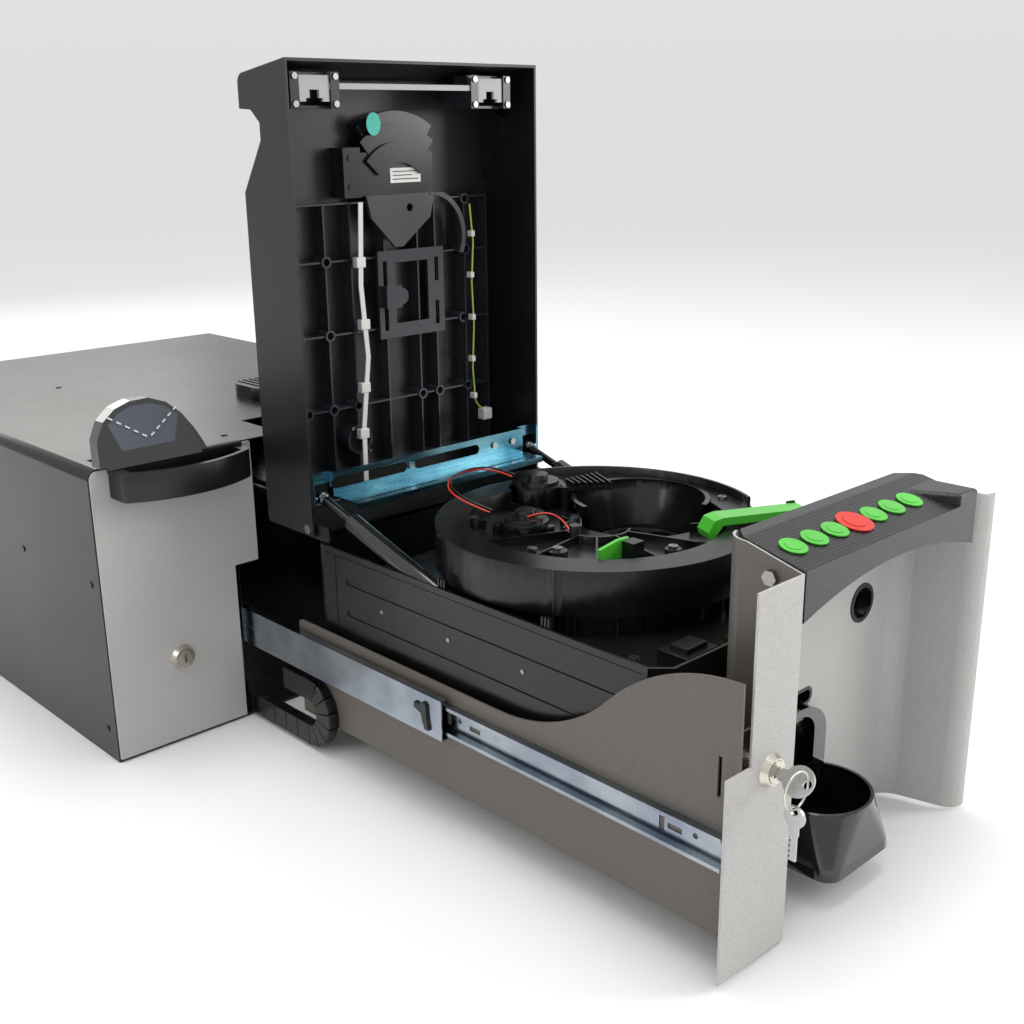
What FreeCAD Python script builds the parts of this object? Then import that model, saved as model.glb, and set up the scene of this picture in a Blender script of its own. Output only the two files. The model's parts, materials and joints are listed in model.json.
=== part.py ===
"""Coin sorting machine in a till-side steel cabinet, with its coin drawer pulled out and its lid open.

The cabinet has two bays side by side: a narrow one for the banknote drawer and a wide one for the coin
drawer. Sizes are millimetres. While modelling, a place is given from the cabinet's front, left, bottom
corner: X to the right, Y to the back (so what stands out in front has a negative Y), Z up. The helpers
move every piece into the part's own frame, whose origin is the centre of the cabinet's base.
"""

import FreeCAD, Part
import math
import os

import Sketcher

Vector = FreeCAD.Vector

# ---------------------------------------------------------------------------------------------------------
# Driving dimensions. Each becomes a named cell of the document's spreadsheet.

SIZES = {
    # cabinet
    "cab_w": 492, "cab_d": 610, "cab_height": 288, "sheet": 1.5, "edge_round": 9.6,
    "jog_z": 164.7,  # height of the step between the narrow and the wide part of both front panels
    "divider_low": 144.6, "divider_high": 165,  # left faces of the divider, under and over the step
    # drawer slides: standard ball-bearing slides, 12.7 thick, 45.5 high over the outer member
    "slide_t": 12.7, "slide_outer": 45.5, "slide_middle": 37, "slide_inner": 26.4, "slide_z": 97.7,
    "note_slide_z": 60, "slide_len": 590, "note_slide_len": 490, "metal": 1.2,
    # banknote drawer
    "note_w": 166.4, "note_w_low": 139.8, "panel_t": 2, "panel_low": 3, "panel_high": 286.5,
    "lock_x": 74.6, "lock_z": 87.3,
    # coin drawer: how far it stands out, its recess, its tray
    "travel": 600, "recess_left": 221, "recess_right": 460, "recess_depth": 65, "panel_right": 491,
    "coin_left": 168.4, "coin_left_low": 141.8,
    "tray_left": 158.8, "tray_right": 477.8, "tray_z": 28.4, "tray_back": 80,
    "coin_lock_x": 191.2, "coin_lock_z": 152.6,
    # coin machine
    "mach_left": 168.5, "mach_right": 462, "mach_front": 522, "mach_back": 98, "mach_z": 30.4,
    "mach_top": 206, "mach_wall": 2.5, "deck_z": 190,
    "ring_x": 315.25, "ring_y": 324, "ring_rad": 143, "ring_z": 208, "ring_top": 246,
    "bowl_x": 386, "bowl_y": 313, "bowl_rad": 60,
    # lid, standing open: its rim faces the front
    "lid_left": 167.6, "lid_right": 464, "rim_y": 100, "lid_back": 25, "lid_low": 210, "lid_high": 633,
    "lid_wall": 2.5, "rib_y": 43, "pivot_y": 92, "pivot_z": 216,
    # gas springs
    "spring_inset": 12.5, "spring_foot_y": 330, "spring_foot_z": 172, "spring_head_y": 100,
    "spring_head_z": 246,
    "tube_rad": 9, "piston_rad": 4,
}


class Size:
    """A number together with the spreadsheet expression that it comes from."""

    def __init__(self, value, text):
        self.value, self.text = float(value), text

    def __add__(self, other):
        other = size(other)
        return Size(self.value + other.value, f"({self.text} + {other.text})")

    def __sub__(self, other):
        other = size(other)
        return Size(self.value - other.value, f"({self.text} - {other.text})")

    def __mul__(self, other):
        other = size(other)
        return Size(self.value * other.value, f"({self.text} * {other.text})")

    def __truediv__(self, other):
        other = size(other)
        return Size(self.value / other.value, f"({self.text} / {other.text})")

    def __radd__(self, other):
        return size(other) + self

    def __rsub__(self, other):
        return size(other) - self

    def __rmul__(self, other):
        return size(other) * self

    def __neg__(self):
        return Size(-self.value, f"(0 - {self.text})")

    def __float__(self):
        return self.value


def size(number):
    return number if isinstance(number, Size) else Size(number, repr(float(number)))


class Sheet:
    """The driving dimensions as attributes: s.cab_w is the cell cab_w."""

    def __init__(self, doc, numbers):
        cells = doc.addObject("Spreadsheet::Sheet", "Dims")
        for row, (alias, number) in enumerate(numbers.items(), start=1):
            cells.set(f"A{row}", alias)
            cells.set(f"B{row}", str(number))
            cells.setAlias(f"B{row}", alias)
            setattr(self, alias, Size(number, f"Dims.{alias}"))


doc = FreeCAD.newDocument("coin_sorting_machine")
s = Sheet(doc, SIZES)
doc.recompute()

AXES = {"X": Vector(1, 0, 0), "Y": Vector(0, 1, 0), "Z": Vector(0, 0, 1)}
TURN_TO = {
    "X": FreeCAD.Rotation(Vector(0, 1, 0), 90),
    "Y": FreeCAD.Rotation(Vector(1, 0, 0), -90),
    "Z": FreeCAD.Rotation(),
}
nodes = {}

# ---------------------------------------------------------------------------------------------------------
# Helpers


def bind(obj, prop, number):
    """Sets a property, by an expression where the number comes from the spreadsheet."""
    number = size(number)
    if "Dims" in number.text:
        obj.setExpression(prop, number.text)
    else:
        target, _, last = prop.rpartition(".")
        if target == "Placement.Base":
            base = obj.Placement.Base
            setattr(base, last, number.value)
            obj.Placement = FreeCAD.Placement(base, obj.Placement.Rotation)
        else:
            setattr(obj, prop, number.value)


def put(obj, x=0.0, y=0.0, z=0.0, rotation=None):
    """Places an object by the cabinet's corner coordinates."""
    if rotation is not None:
        obj.Placement = FreeCAD.Placement(Vector(), rotation)
    bind(obj, "Placement.Base.x", size(x) - s.cab_w / 2)
    bind(obj, "Placement.Base.y", size(y) - s.cab_d / 2)
    bind(obj, "Placement.Base.z", z)
    return obj


def point(x, y, z):
    """A point of the part's own frame from the cabinet's corner coordinates."""
    return Vector(float(x) - s.cab_w.value / 2, float(y) - s.cab_d.value / 2, float(z))


def box(name, x, y, z):
    obj = doc.addObject("Part::Box", name)
    for prop, (low, high) in zip(("Length", "Width", "Height"), (x, y, z)):
        bind(obj, prop, size(high) - low)
    return put(obj, x[0], y[0], z[0])


def rod(name, axis, start, radius, length):
    obj = doc.addObject("Part::Cylinder", name)
    bind(obj, "Radius", radius)
    bind(obj, "Height", length)
    return put(obj, *start, rotation=TURN_TO[axis])


def cone(name, axis, start, radius, far_radius, length):
    obj = doc.addObject("Part::Cone", name)
    bind(obj, "Radius1", radius)
    bind(obj, "Radius2", far_radius)
    bind(obj, "Height", length)
    return put(obj, *start, rotation=TURN_TO[axis])


def torus(name, axis, centre, radius, thickness):
    obj = doc.addObject("Part::Torus", name)
    bind(obj, "Radius1", radius)
    bind(obj, "Radius2", thickness / 2)
    return put(obj, *centre, rotation=TURN_TO[axis])


def join(name, *pieces):
    if len(pieces) == 1:
        pieces[0].Label = name
        return pieces[0]
    obj = doc.addObject("Part::MultiFuse", name)
    obj.Shapes = list(pieces)
    return obj


def cut(name, base, *tools):
    obj = doc.addObject("Part::Cut", name)
    obj.Base = base
    obj.Tool = join(name + "_tools", *tools) if len(tools) > 1 else tools[0]
    return obj


def group(name, *pieces):
    """Separate solids that share one node."""
    obj = doc.addObject("Part::Compound", name)
    obj.Links = list(pieces)
    return obj


def made(name, shape):
    """A piece whose form neither a sketch nor the primitives give; its shape is in the part's own frame."""
    obj = doc.addObject("Part::Feature", name)
    obj.Shape = shape
    return obj


def rounded(name, base, radius, axis, where=lambda middle: True):
    """Rounds the straight edges along an axis whose middle, in corner coordinates, passes the test."""
    doc.recompute()
    corner = point(0, 0, 0)
    picked = []
    for number, edge in enumerate(base.Shape.Edges, start=1):
        if edge.Curve.TypeId != "Part::GeomLine":
            continue
        middle = edge.CenterOfMass - corner
        if abs(abs(edge.Curve.Direction.dot(AXES[axis])) - 1) < 1e-6 and where(middle):
            picked.append((number, float(radius), float(radius)))
    obj = doc.addObject("Part::Fillet", name)
    obj.Base = base
    obj.Edges = picked
    return obj


def profile(name, plane, outline, start, length, holes=(), rounds=()):
    """A Body: one closed outline of straight lines in a plane, with round holes, padded along its normal.

    plane XY takes (x, y) points and pads up, XZ takes (x, z) and pads back, YZ takes (y, z) and pads right.
    rounds lists (index of the outline's point, radius).
    """
    body = doc.addObject("PartDesign::Body", name)
    sketch = body.newObject("Sketcher::SketchObject", name + "_outline")
    base_plane = [f for f in body.Origin.OriginFeatures if f.Role == plane + "_Plane"][0]
    sketch.AttachmentSupport = [(base_plane, "")]
    sketch.MapMode = "FlatFace"
    points = [(size(a), size(b)) for a, b in outline]
    ends = [Vector(a.value, b.value, 0) for a, b in points]
    count = len(points)
    for i in range(count):
        sketch.addGeometry(Part.LineSegment(ends[i], ends[(i + 1) % count]))
    for i in range(count):
        sketch.addConstraint(Sketcher.Constraint("Coincident", i, 2, (i + 1) % count, 1))

    def fix(geometry, where, a, b):
        for kind, number in (("DistanceX", a), ("DistanceY", b)):
            k = sketch.addConstraint(Sketcher.Constraint(kind, -1, 1, geometry, where, number.value))
            if "Dims" in number.text:
                sketch.setExpression(f"Constraints[{k}]", number.text)

    for i, (a, b) in enumerate(points):
        fix(i, 1, a, b)
    for a, b, radius in holes:
        a, b, radius = size(a), size(b), size(radius)
        ring = Part.Circle(Vector(a.value, b.value, 0), Vector(0, 0, 1), radius.value)
        k = sketch.addGeometry(ring)
        sketch.addConstraint(Sketcher.Constraint("Radius", k, radius.value))
        fix(k, 3, a, b)
    pad = body.newObject("PartDesign::Pad", name + "_pad")
    pad.Profile = sketch
    bind(pad, "Length", length)
    pad.Reversed = plane == "XZ"
    doc.recompute()
    depth = {"XY": 2, "XZ": 1, "YZ": 0}[plane]
    flat = [axis for axis in range(3) if axis != depth]
    last = pad
    for radius in sorted({radius for _, radius in rounds}):
        edges = []
        for number, edge in enumerate(last.Shape.Edges, start=1):
            middle = edge.CenterOfMass
            for index, wanted in rounds:
                corner = ends[index]
                near = abs(middle[flat[0]] - corner.x) + abs(middle[flat[1]] - corner.y) < 1e-3
                if wanted == radius and near and edge.Curve.TypeId == "Part::GeomLine":
                    edges.append(f"Edge{number}")
        fillet = body.newObject("PartDesign::Fillet", f"{name}_round_{len(body.Group)}")
        fillet.Base = (last, edges)
        fillet.Radius = radius
        doc.recompute()
        last = fillet
    offset = {"XY": (0, 0, start), "XZ": (0, start, 0), "YZ": (start, 0, 0)}[plane]
    return put(body, *offset)


def prism(points, direction):
    """A plain solid from a flat outline of corner-coordinate points and a direction."""
    wire = Part.makePolygon([point(*p) for p in points] + [point(*points[0])])
    return Part.Face(wire).extrude(Vector(*direction))


def tube_along(points, radius, bend):
    """A round bar along straight runs joined by tangent arcs; points in corner coordinates."""
    corners = [point(*p) for p in points]
    edges, at = [], corners[0]
    for before, here, after in zip(corners, corners[1:], corners[2:]):
        back, ahead = (before - here).normalize(), (after - here).normalize()
        turn = math.pi - math.acos(max(-1, min(1, back.dot(ahead))))
        reach = bend * math.tan(turn / 2)
        start, end = here + back * reach, here + ahead * reach
        half = (back + ahead).normalize()
        middle = here + half * (math.hypot(bend, reach) - bend)
        edges += [Part.LineSegment(at, start).toShape(), Part.Arc(start, middle, end).toShape()]
        at = end
    edges.append(Part.LineSegment(at, corners[-1]).toShape())
    path = Part.Wire(edges)
    section = Part.Wire([Part.Circle(corners[0], corners[1] - corners[0], radius).toShape()])
    return path.makePipeShell([section], True, True)


def node(name, obj):
    obj.Label = name
    nodes[name] = obj
    return obj


# ---------------------------------------------------------------------------------------------------------
# Cabinet


def cabinet():
    """The wrap of roof and sides, the floor pan, the back, the Z-bent divider and their screws."""
    inside = (s.sheet, s.cab_w - s.sheet)
    outer = rounded("wrap_outer", box("wrap_block", (0, s.cab_w), (0, s.cab_d), (0, s.cab_height)),
                    s.edge_round, "Y", lambda m: m.z > 200)
    hollow = rounded("wrap_hollow", box("wrap_space", inside, (-1, s.cab_d + 1),
                                        (-1, s.cab_height - s.sheet)),
                     s.edge_round - s.sheet, "Y", lambda m: m.z > 200)
    note_notch = box("note_notch", (18, 114), (-1, 36), (s.cab_height - 2, s.cab_height + 1))
    coin_notch = box("coin_notch", (205, 470), (-1, 74), (s.cab_height - 2, s.cab_height + 1))
    node("cabinet_shell", cut("cabinet_shell", outer, hollow, note_notch, coin_notch))

    floor = box("pan_block", inside, (0, s.cab_d - s.sheet), (0, 12))
    room = box("pan_space", (2 * s.sheet, s.cab_w - 2 * s.sheet), (s.sheet, s.cab_d - 2 * s.sheet),
               (s.sheet, 13))
    front = box("pan_front", (0, s.cab_w), (-1, s.sheet + 0.01), (2.7, 13))
    node("base_pan", cut("base_pan", floor, room, front))

    back = box("back_sheet", inside, (s.cab_d - s.sheet, s.cab_d), (0, s.cab_height - s.sheet - 8.3))
    through = (s.cab_d - 5, s.cab_d + 5)
    vents = [box(f"vent_{i}", (60 + 12 * i, 66 + 12 * i), through, (190, 235)) for i in range(6)]
    vents += [box(f"vent_{i + 6}", (300 + 12 * i, 306 + 12 * i), through, (190, 235)) for i in range(12)]
    inlet = box("inlet_hole", (330, 357), through, (40, 60))
    leads = rod("lead_hole", "Y", (400, s.cab_d - 5, 50), 12, 10)
    node("rear_panel", cut("rear_panel", back, inlet, leads, *vents))

    low, high = s.divider_low, s.divider_high
    step = [
        (low, 1.5), (low + 1.5, 1.5), (low + 1.5, s.jog_z - 3.2), (high + 1.5, s.jog_z - 3.2),
        (high + 1.5, s.cab_height - s.sheet), (high, s.cab_height - s.sheet), (high, s.jog_z - 1.7),
        (low, s.jog_z - 1.7),
    ]
    node("bay_divider", profile("bay_divider", "XZ", step, 1.5, s.cab_d - 6,
                                rounds=[(2, 1), (3, 3), (6, 1), (7, 3)]))

    heads = [rod(f"roof_screw_{i}", "Z", (x, y, s.cab_height), 3.2, 0.9)
             for i, (x, y) in enumerate([(149, 382), (158, 30), (149, 560), (478, 382), (478, 90)])]
    heads += [rod(f"side_screw_{i}", "X", (-0.9, y, z), 3.2, 0.9)
              for i, (y, z) in enumerate([(166, 176), (17.5, 176), (17.5, 30), (590, 176), (590, 30),
                                          (330, 30)])]
    heads += [rod(f"side_screw_r{i}", "X", (s.cab_w, y, z), 3.2, 0.9)
              for i, (y, z) in enumerate([(166, 176), (17.5, 176), (17.5, 30), (590, 176), (590, 30),
                                          (330, 30)])]
    node("cabinet_screws", group("cabinet_screws", *heads))

    pad = rounded("grip_round", box("grip_block", (268, 334), (132, 202), (s.cab_height, s.cab_height + 14)),
                  22, "Z")
    grooves = [box(f"grip_groove_{i}", (276 + 8 * i, 280 + 8 * i), (130, 204),
                   (s.cab_height + 9, s.cab_height + 15))
               for i in range(7)]
    node("roof_grip", cut("roof_grip", pad, *grooves))


def slide_member(name, wall, side, height, offset, depth, centre, start, length):
    """One C-shaped member of a ball-bearing slide. side is +1 when it stands on its wall towards +X."""
    web, lip = offset, offset + depth
    t, half = s.metal, height / 2
    t_in = t * (1 if float(depth) > 0 else -1)
    inward = 3.2
    points = [
        (web, -half), (lip, -half), (lip, -half + inward), (lip - t_in, -half + inward),
        (lip - t_in, -half + t),
        (web + t_in, -half + t), (web + t_in, half - t), (lip - t_in, half - t), (lip - t_in, half - inward),
        (lip, half - inward), (lip, half), (web, half),
    ]
    outline = [(wall + side * a, centre + b) for a, b in points]
    return profile(name, "XZ", outline, start, length)


def slides():
    """Two pairs of three-member slides. The innermost member opens the other way, its web on the drawer."""
    coin_walls = ((s.divider_low + 1.5, 1, "left"), (s.cab_w - s.sheet, -1, "right"))
    note_walls = ((s.sheet, 1, "left"), (s.divider_low, -1, "right"))
    outers, coin_middles, coin_inners, note_middles, note_inners = [], [], [], [], []
    middle_front, inner_front = -s.travel / 2 - 2, -s.travel + 10
    for wall, side, word in coin_walls:
        outers.append(slide_member(f"coin_outer_{word}", wall, side, s.slide_outer, 0, 9.6, s.slide_z, 3,
                                   s.slide_len))
        coin_middles.append(slide_member(f"coin_middle_{word}", wall, side, s.slide_middle, 1.9, 7.4,
                                         s.slide_z,
                                         middle_front, s.slide_len))
        plain = slide_member(f"coin_inner_{word}", wall, side, s.slide_inner, s.slide_t, -7.4, s.slide_z,
                             inner_front, s.slide_len - 30)
        coin_inners.append(slotted(plain, word, wall, side, inner_front))
    for wall, side, word in note_walls:
        outers.append(slide_member(f"note_outer_{word}", wall, side, s.slide_outer, 0, 9.6,
                                   s.note_slide_z, 5,
                                   s.note_slide_len))
        note_middles.append(slide_member(f"note_middle_{word}", wall, side, s.slide_middle, 1.9, 7.4,
                                         s.note_slide_z, 5, s.note_slide_len - 10))
        note_inners.append(slide_member(f"note_inner_{word}", wall, side, s.slide_inner, s.slide_t, -7.4,
                                        s.note_slide_z, 5, s.note_slide_len - 10))
    node("slide_outers", group("slide_outers", *outers))
    node("coin_slide_middles", group("coin_slide_middles", *coin_middles))
    node("coin_slide_inners", group("coin_slide_inners", *coin_inners))
    node("note_slide_middles", group("note_slide_middles", *note_middles))
    node("note_slide_inners", group("note_slide_inners", *note_inners))


def slotted(member, word, wall, side, front):
    """The fixing slots and holes through the web of a drawer-side slide member."""
    deep = (wall + side * 9, wall + side * 15)
    span = (min(deep, key=float), max(deep, key=float))
    z = s.slide_z
    tools = []
    for i, along in enumerate((38, 54, 250, 286)):
        tools.append(box(f"slot_{word}_{i}", span, (front + along, front + along + (5 if i % 2 else 13)),
                         (z - (6 if i % 2 else 2.2), z + (6 if i % 2 else 2.2))))
    for i, along in enumerate((26, 275)):
        tools.append(rod(f"slot_hole_{word}_{i}", "X", (span[0], front + along, z + 2), 2.3, 6))
    return cut(f"slotted_{word}", member, *tools)


def chain_arcs(y, z, outer, inner, width, x):
    """A row of chain links round a half turn, each a wedge of the ring, with a small gap between links."""
    links, count = [], 7
    ring = Part.makeCylinder(outer, width, point(x, y, z), Vector(1, 0, 0)).cut(
        Part.makeCylinder(inner, width, point(x, y, z), Vector(1, 0, 0)))
    for i in range(count):
        a0 = math.radians(-90 - i * 180 / count - 1.0)
        a1 = math.radians(-90 - (i + 1) * 180 / count + 1.0)
        far = 2 * outer
        fan = prism([(x - 1, y, z), (x - 1, y + far * math.cos(a0), z + far * math.sin(a0)),
                     (x - 1, y + far * math.cos(a1), z + far * math.sin(a1))], (width + 2, 0, 0))
        links.append(ring.common(fan))
    return links


def energy_chain():
    """The cable chain: a run on the floor, a half turn in front of the cabinet, a run back to the tray."""
    x, width, low, height, turn_y, turn_rad = 146.8, 11.6, 3.0, 22.0, -103.0, 35.0
    pitch, gap = 20.0, 0.6
    turn_z = low + turn_rad
    links = []
    for i in range(9):
        y = turn_y + i * pitch
        links.append(Part.makeBox(width, pitch - gap, height, point(x, y + gap / 2, low)))
    for i in range(2):
        y = turn_y + i * pitch
        links.append(Part.makeBox(width, pitch - gap, height,
                                  point(x, y + gap / 2, turn_z + turn_rad - height)))
    links += chain_arcs(turn_y, turn_z, turn_rad, turn_rad - height, width, x)
    node("energy_chain", made("energy_chain", Part.makeCompound(links)))


# ---------------------------------------------------------------------------------------------------------
# Banknote drawer


def note_drawer():
    face, back = -s.panel_t - 0.3, -0.3
    right, low_right = s.note_w, s.note_w_low
    outline = [(1.2, s.panel_low), (low_right, s.panel_low), (low_right, s.jog_z), (right, s.jog_z),
               (right, s.panel_high), (1.2, s.panel_high)]
    hole = (s.lock_x, s.lock_z, 9)
    node("note_front_panel", profile("note_front_panel", "XZ", outline, face, s.panel_t, holes=[hole],
                                     rounds=[(5, 8.4), (0, 1), (1, 1), (2, 1), (3, 1), (4, 1.5)]))
    lock("note", s.lock_x, face, s.lock_z, 0)

    # tray under the banknote module, its side walls on the slides
    tray = box("note_tray_block", (14.4, s.divider_low - s.slide_t - 0.2), (back, 478), (12, 92))
    room = box("note_tray_space", (15.9, s.divider_low - s.slide_t - 1.7), (-0.31, 476.5), (13.5, 93))
    node("note_tray", cut("note_tray", tray, room))

    lower = box("module_lower", (17, 129), (30, 460), (13.5, 165.5))
    upper = box("module_upper", (12, 162), (30, 460), (165.5, 276))
    seams = [box(f"module_seam_{i}", (0, 170), (461 - 110 * (i + 1), 463 - 110 * (i + 1)), (274.5, 280))
             for i in range(4)]
    pull = box("module_pull", (50, 100), (448, 461), (215, 240))
    module = join("module_body", lower, upper)
    node("note_recycler", cut("note_recycler", module, pull, *seams))

    # handle: a bowed bar in front of the panel with a scoop behind it, under a ledge on the panel's top edge
    x0, x1, z0, z1 = 19, 150, 260, 287
    reach, bow, lip = 27.0, 19.0, 5.0
    half = (x1 - x0) / 2
    radius = (half ** 2 + bow ** 2) / (2 * bow)
    front = face.value - reach - bow
    nose = Part.makeCylinder(radius, z1 - z0, point(x0 + half, front + radius, z0))
    body = Part.makeBox(x1 - x0, reach + bow, z1 - z0, point(x0, front, z0)).common(nose)
    body = body.makeFillet(7, [e for e in body.Edges if e.Curve.TypeId == "Part::GeomLine" and
                               abs(e.CenterOfMass.z - (z0 + z1) / 2) < 0.1 and
                               e.CenterOfMass.y < point(0, -10, 0).y])
    scoop = Part.makeCylinder(radius - lip, z1, point(x0 + half, front + radius, z0 + 6)).common(
        Part.makeBox(x1 - x0 - 18, reach + bow - 9, z1, point(x0 + 9, front, z0 + 6)))
    ledge = Part.makeBox(x1 - x0 + 2, 11, 8, point(x0 - 1, face.value - 11, z1 - 3.5))
    ledge = ledge.makeFillet(3.2, [e for e in ledge.Edges if abs(e.CenterOfMass.z - (z1 + 4.5)) < 0.01])
    handle = body.cut(scoop).fuse(ledge).removeSplitter()
    node("note_handle", made("note_handle", handle))

    # bezel: a fan-shaped hood that leans back over the roof's notch, with a window across its face
    def leaning(x, z, forward=0.0):
        return (x, -14 + (z - 289) * 0.4 - forward, z)

    fan = [(7, 290.5), (11, 313), (21, 328), (35, 337.5), (52, 342.5), (70, 342.5), (86, 336.5), (98, 325),
           (107, 310), (112, 298), (114, 290.5)]
    hood = prism([leaning(*p) for p in fan], (0, 15, 0))
    rim = hood.makeFillet(1.5, [e for e in hood.Edges if e.CenterOfMass.y > point(0, 0, 0).y + 1 and
                                e.CenterOfMass.z > 306 and e.BoundBox.YLength < 1.0 and
                                e.BoundBox.XLength > 5])
    foot = prism([leaning(14, 288), leaning(108, 288), leaning(108, 290.5), leaning(14, 290.5)], (0, 18, 0))
    pane = [(32, 302), (25, 325), (37, 333.5), (52, 338), (69, 338), (83, 333.5), (94, 325), (84, 302)]
    window = prism([leaning(*p, 1) for p in pane], (0, 3.5, 0))
    foot = foot.common(Part.makeBox(200, 60, 2.6, point(0, -15, 288.1)))
    node("note_bezel", made("note_bezel", rim.fuse(foot).cut(window).cut(handle)))
    node("note_window", made("note_window", window.common(rim)))


def lock(word, x, face, z, turn):
    """A cam lock in a panel: a conical rosette and a barrel that turns in it."""
    outer = cone(f"{word}_rosette_cone", "Y", (x, face - 5, z), 10, 12.5, 5)
    bore = rod(f"{word}_rosette_bore", "Y", (x, face - 6, z), 8.6, 8)
    node(f"{word}_lock_rosette", cut(f"{word}_lock_rosette", outer, bore))
    plug = rod(f"{word}_plug", "Y", (x, face - 5.6, z), 8.3, 24)
    way = Part.makeBox(2.6, 7.5, 8.4, Vector(-1.3, 0, -4.2))
    way.rotate(Vector(), AXES["Y"], turn)
    way.translate(point(x, face - 6.5, z))
    way = made(f"{word}_keyway", way)
    cam = box(f"{word}_cam", (x - 7, x + 7), (face + 18.4, face + 20.9), (z - 8, z + 24))
    node(f"{word}_lock_barrel", join(f"{word}_lock_barrel", cut(f"{word}_plug_cut", plug, way), cam))


# ---------------------------------------------------------------------------------------------------------
# Coin drawer


def coin_panel():
    """The front sheet: flat left flange, a deep recess, a slanted right side and a narrow right flange."""
    front, deep = -s.travel, -s.travel + s.recess_depth
    t = s.panel_t
    left, right = s.recess_left, s.recess_right
    outline = [
        (s.coin_left_low, front), (left, front), (left, deep), (right, deep), (right + 16, front),
        (s.panel_right, front), (s.panel_right, front + t), (right + 18, front + t), (right + 1.6, deep + t),
        (left - t, deep + t), (left - t, front + t), (s.coin_left_low, front + t),
    ]
    rounds = [(1, 2.5), (2, 12), (3, 22), (4, 16), (7, 14), (8, 24), (9, 14)]
    sheet = profile("coin_sheet", "XY", outline, s.panel_low, 302 - s.panel_low.value, rounds=rounds)
    top = s.panel_high + 1
    above = made("coin_sheet_top", prism(
        [(100, front - 1, top), (100, front - 1, 320), (100, deep + 5, 320), (100, deep + 5, 301),
         (100, deep - 17, 299.5), (100, front + t + 1, top)], (420, 0, 0)))
    above_right = made("coin_sheet_top_right", prism(
        [(232, front - 1, 288.5), (232, front - 1, 320), (232, deep + 5, 320), (232, deep + 5, 292)],
        (300, 0, 0)))
    upper_left = box("coin_sheet_jog", (100, s.coin_left), (front - 5, front + 5), (s.jog_z - 2, 330))
    through = (deep - 20, deep + 20)
    port = rod("coin_sheet_port", "Y", (408, through[0], 197), 17, 40)
    slot = join("coin_sheet_slot", box("slot_mid", (306, 334), through, (130, 146)),
                rod("slot_end_a", "Y", (306, through[0], 138), 8, 40),
                rod("slot_end_b", "Y", (334, through[0], 138), 8, 40))
    mouth = box("coin_sheet_mouth", (291, 333), through, (72, 118))
    lock_hole = rod("coin_sheet_lock", "Y", (s.coin_lock_x, front - 5, s.coin_lock_z), 9, 12)
    bolt = rod("coin_sheet_bolt", "X", (left - 5, front + 26, 279), 3.3, 8)
    node("coin_front_panel", cut("coin_front_panel", sheet, above, above_right, upper_left, port, slot,
                                 mouth, lock_hole, bolt))

    ring = cut("port_ring", rod("port_ring_outer", "Y", (408, deep - 0.8, 197), 16.8, 12),
               rod("port_ring_inner", "Y", (408, deep - 2, 197), 13.2, 14))
    lip_outer = join("slot_lip_outer", box("slot_lip_a", (306, 334), (deep + 0.02, deep + 9),
                                           (130.2, 145.8)),
                     rod("slot_lip_b", "Y", (306, deep + 0.02, 138), 7.8, 8.98),
                     rod("slot_lip_c", "Y", (334, deep + 0.02, 138), 7.8, 8.98))
    lip_inner = join("slot_lip_inner", box("slot_lip_d", (306, 334), (deep - 3, deep + 12), (133, 143)),
                     rod("slot_lip_e", "Y", (306, deep - 3, 138), 5, 15),
                     rod("slot_lip_f", "Y", (334, deep - 3, 138), 5, 15))
    node("port_rings", group("port_rings", ring, cut("slot_lip", lip_outer, lip_inner)))

    # chute: an arched frame on the wall, and behind its mouth a half-round shell that leads down to the cup
    x, y, z = 312.0, deep.value, 74.0

    def arch(half, spring, rise, near, far):
        sides = [(x - half, near, z), (x + half, near, z), (x + half, near, z + spring)]
        crown = [(x + half * math.cos(math.radians(a)), near, z + spring + rise * math.sin(math.radians(a)))
                 for a in range(10, 180, 10)]
        return prism(sides + crown + [(x - half, near, z + spring)], (0, far - near, 0))

    frame = arch(38, 34, 28, y - 10, y - 0.01).cut(arch(21, 38, 17, y - 14, y + 4))
    frame = frame.cut(Part.makeBox(100, 20, 5, point(x - 50, y - 15, z - 4)))
    shell = Part.makeCylinder(23, 46, point(x, y - 1, z)).cut(Part.makeCylinder(20.4, 60,
                                                                                point(x, y - 1, z - 2)))
    shell = shell.common(Part.makeBox(41.6, 13.4, 44, point(x - 20.8, y - 1, z)))
    shell = shell.fuse(Part.makeBox(41.2, 2, 44, point(x - 20.6, y + 10.4, z)))
    node("coin_chute", made("coin_chute", frame.fuse(shell).removeSplitter()))


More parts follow.
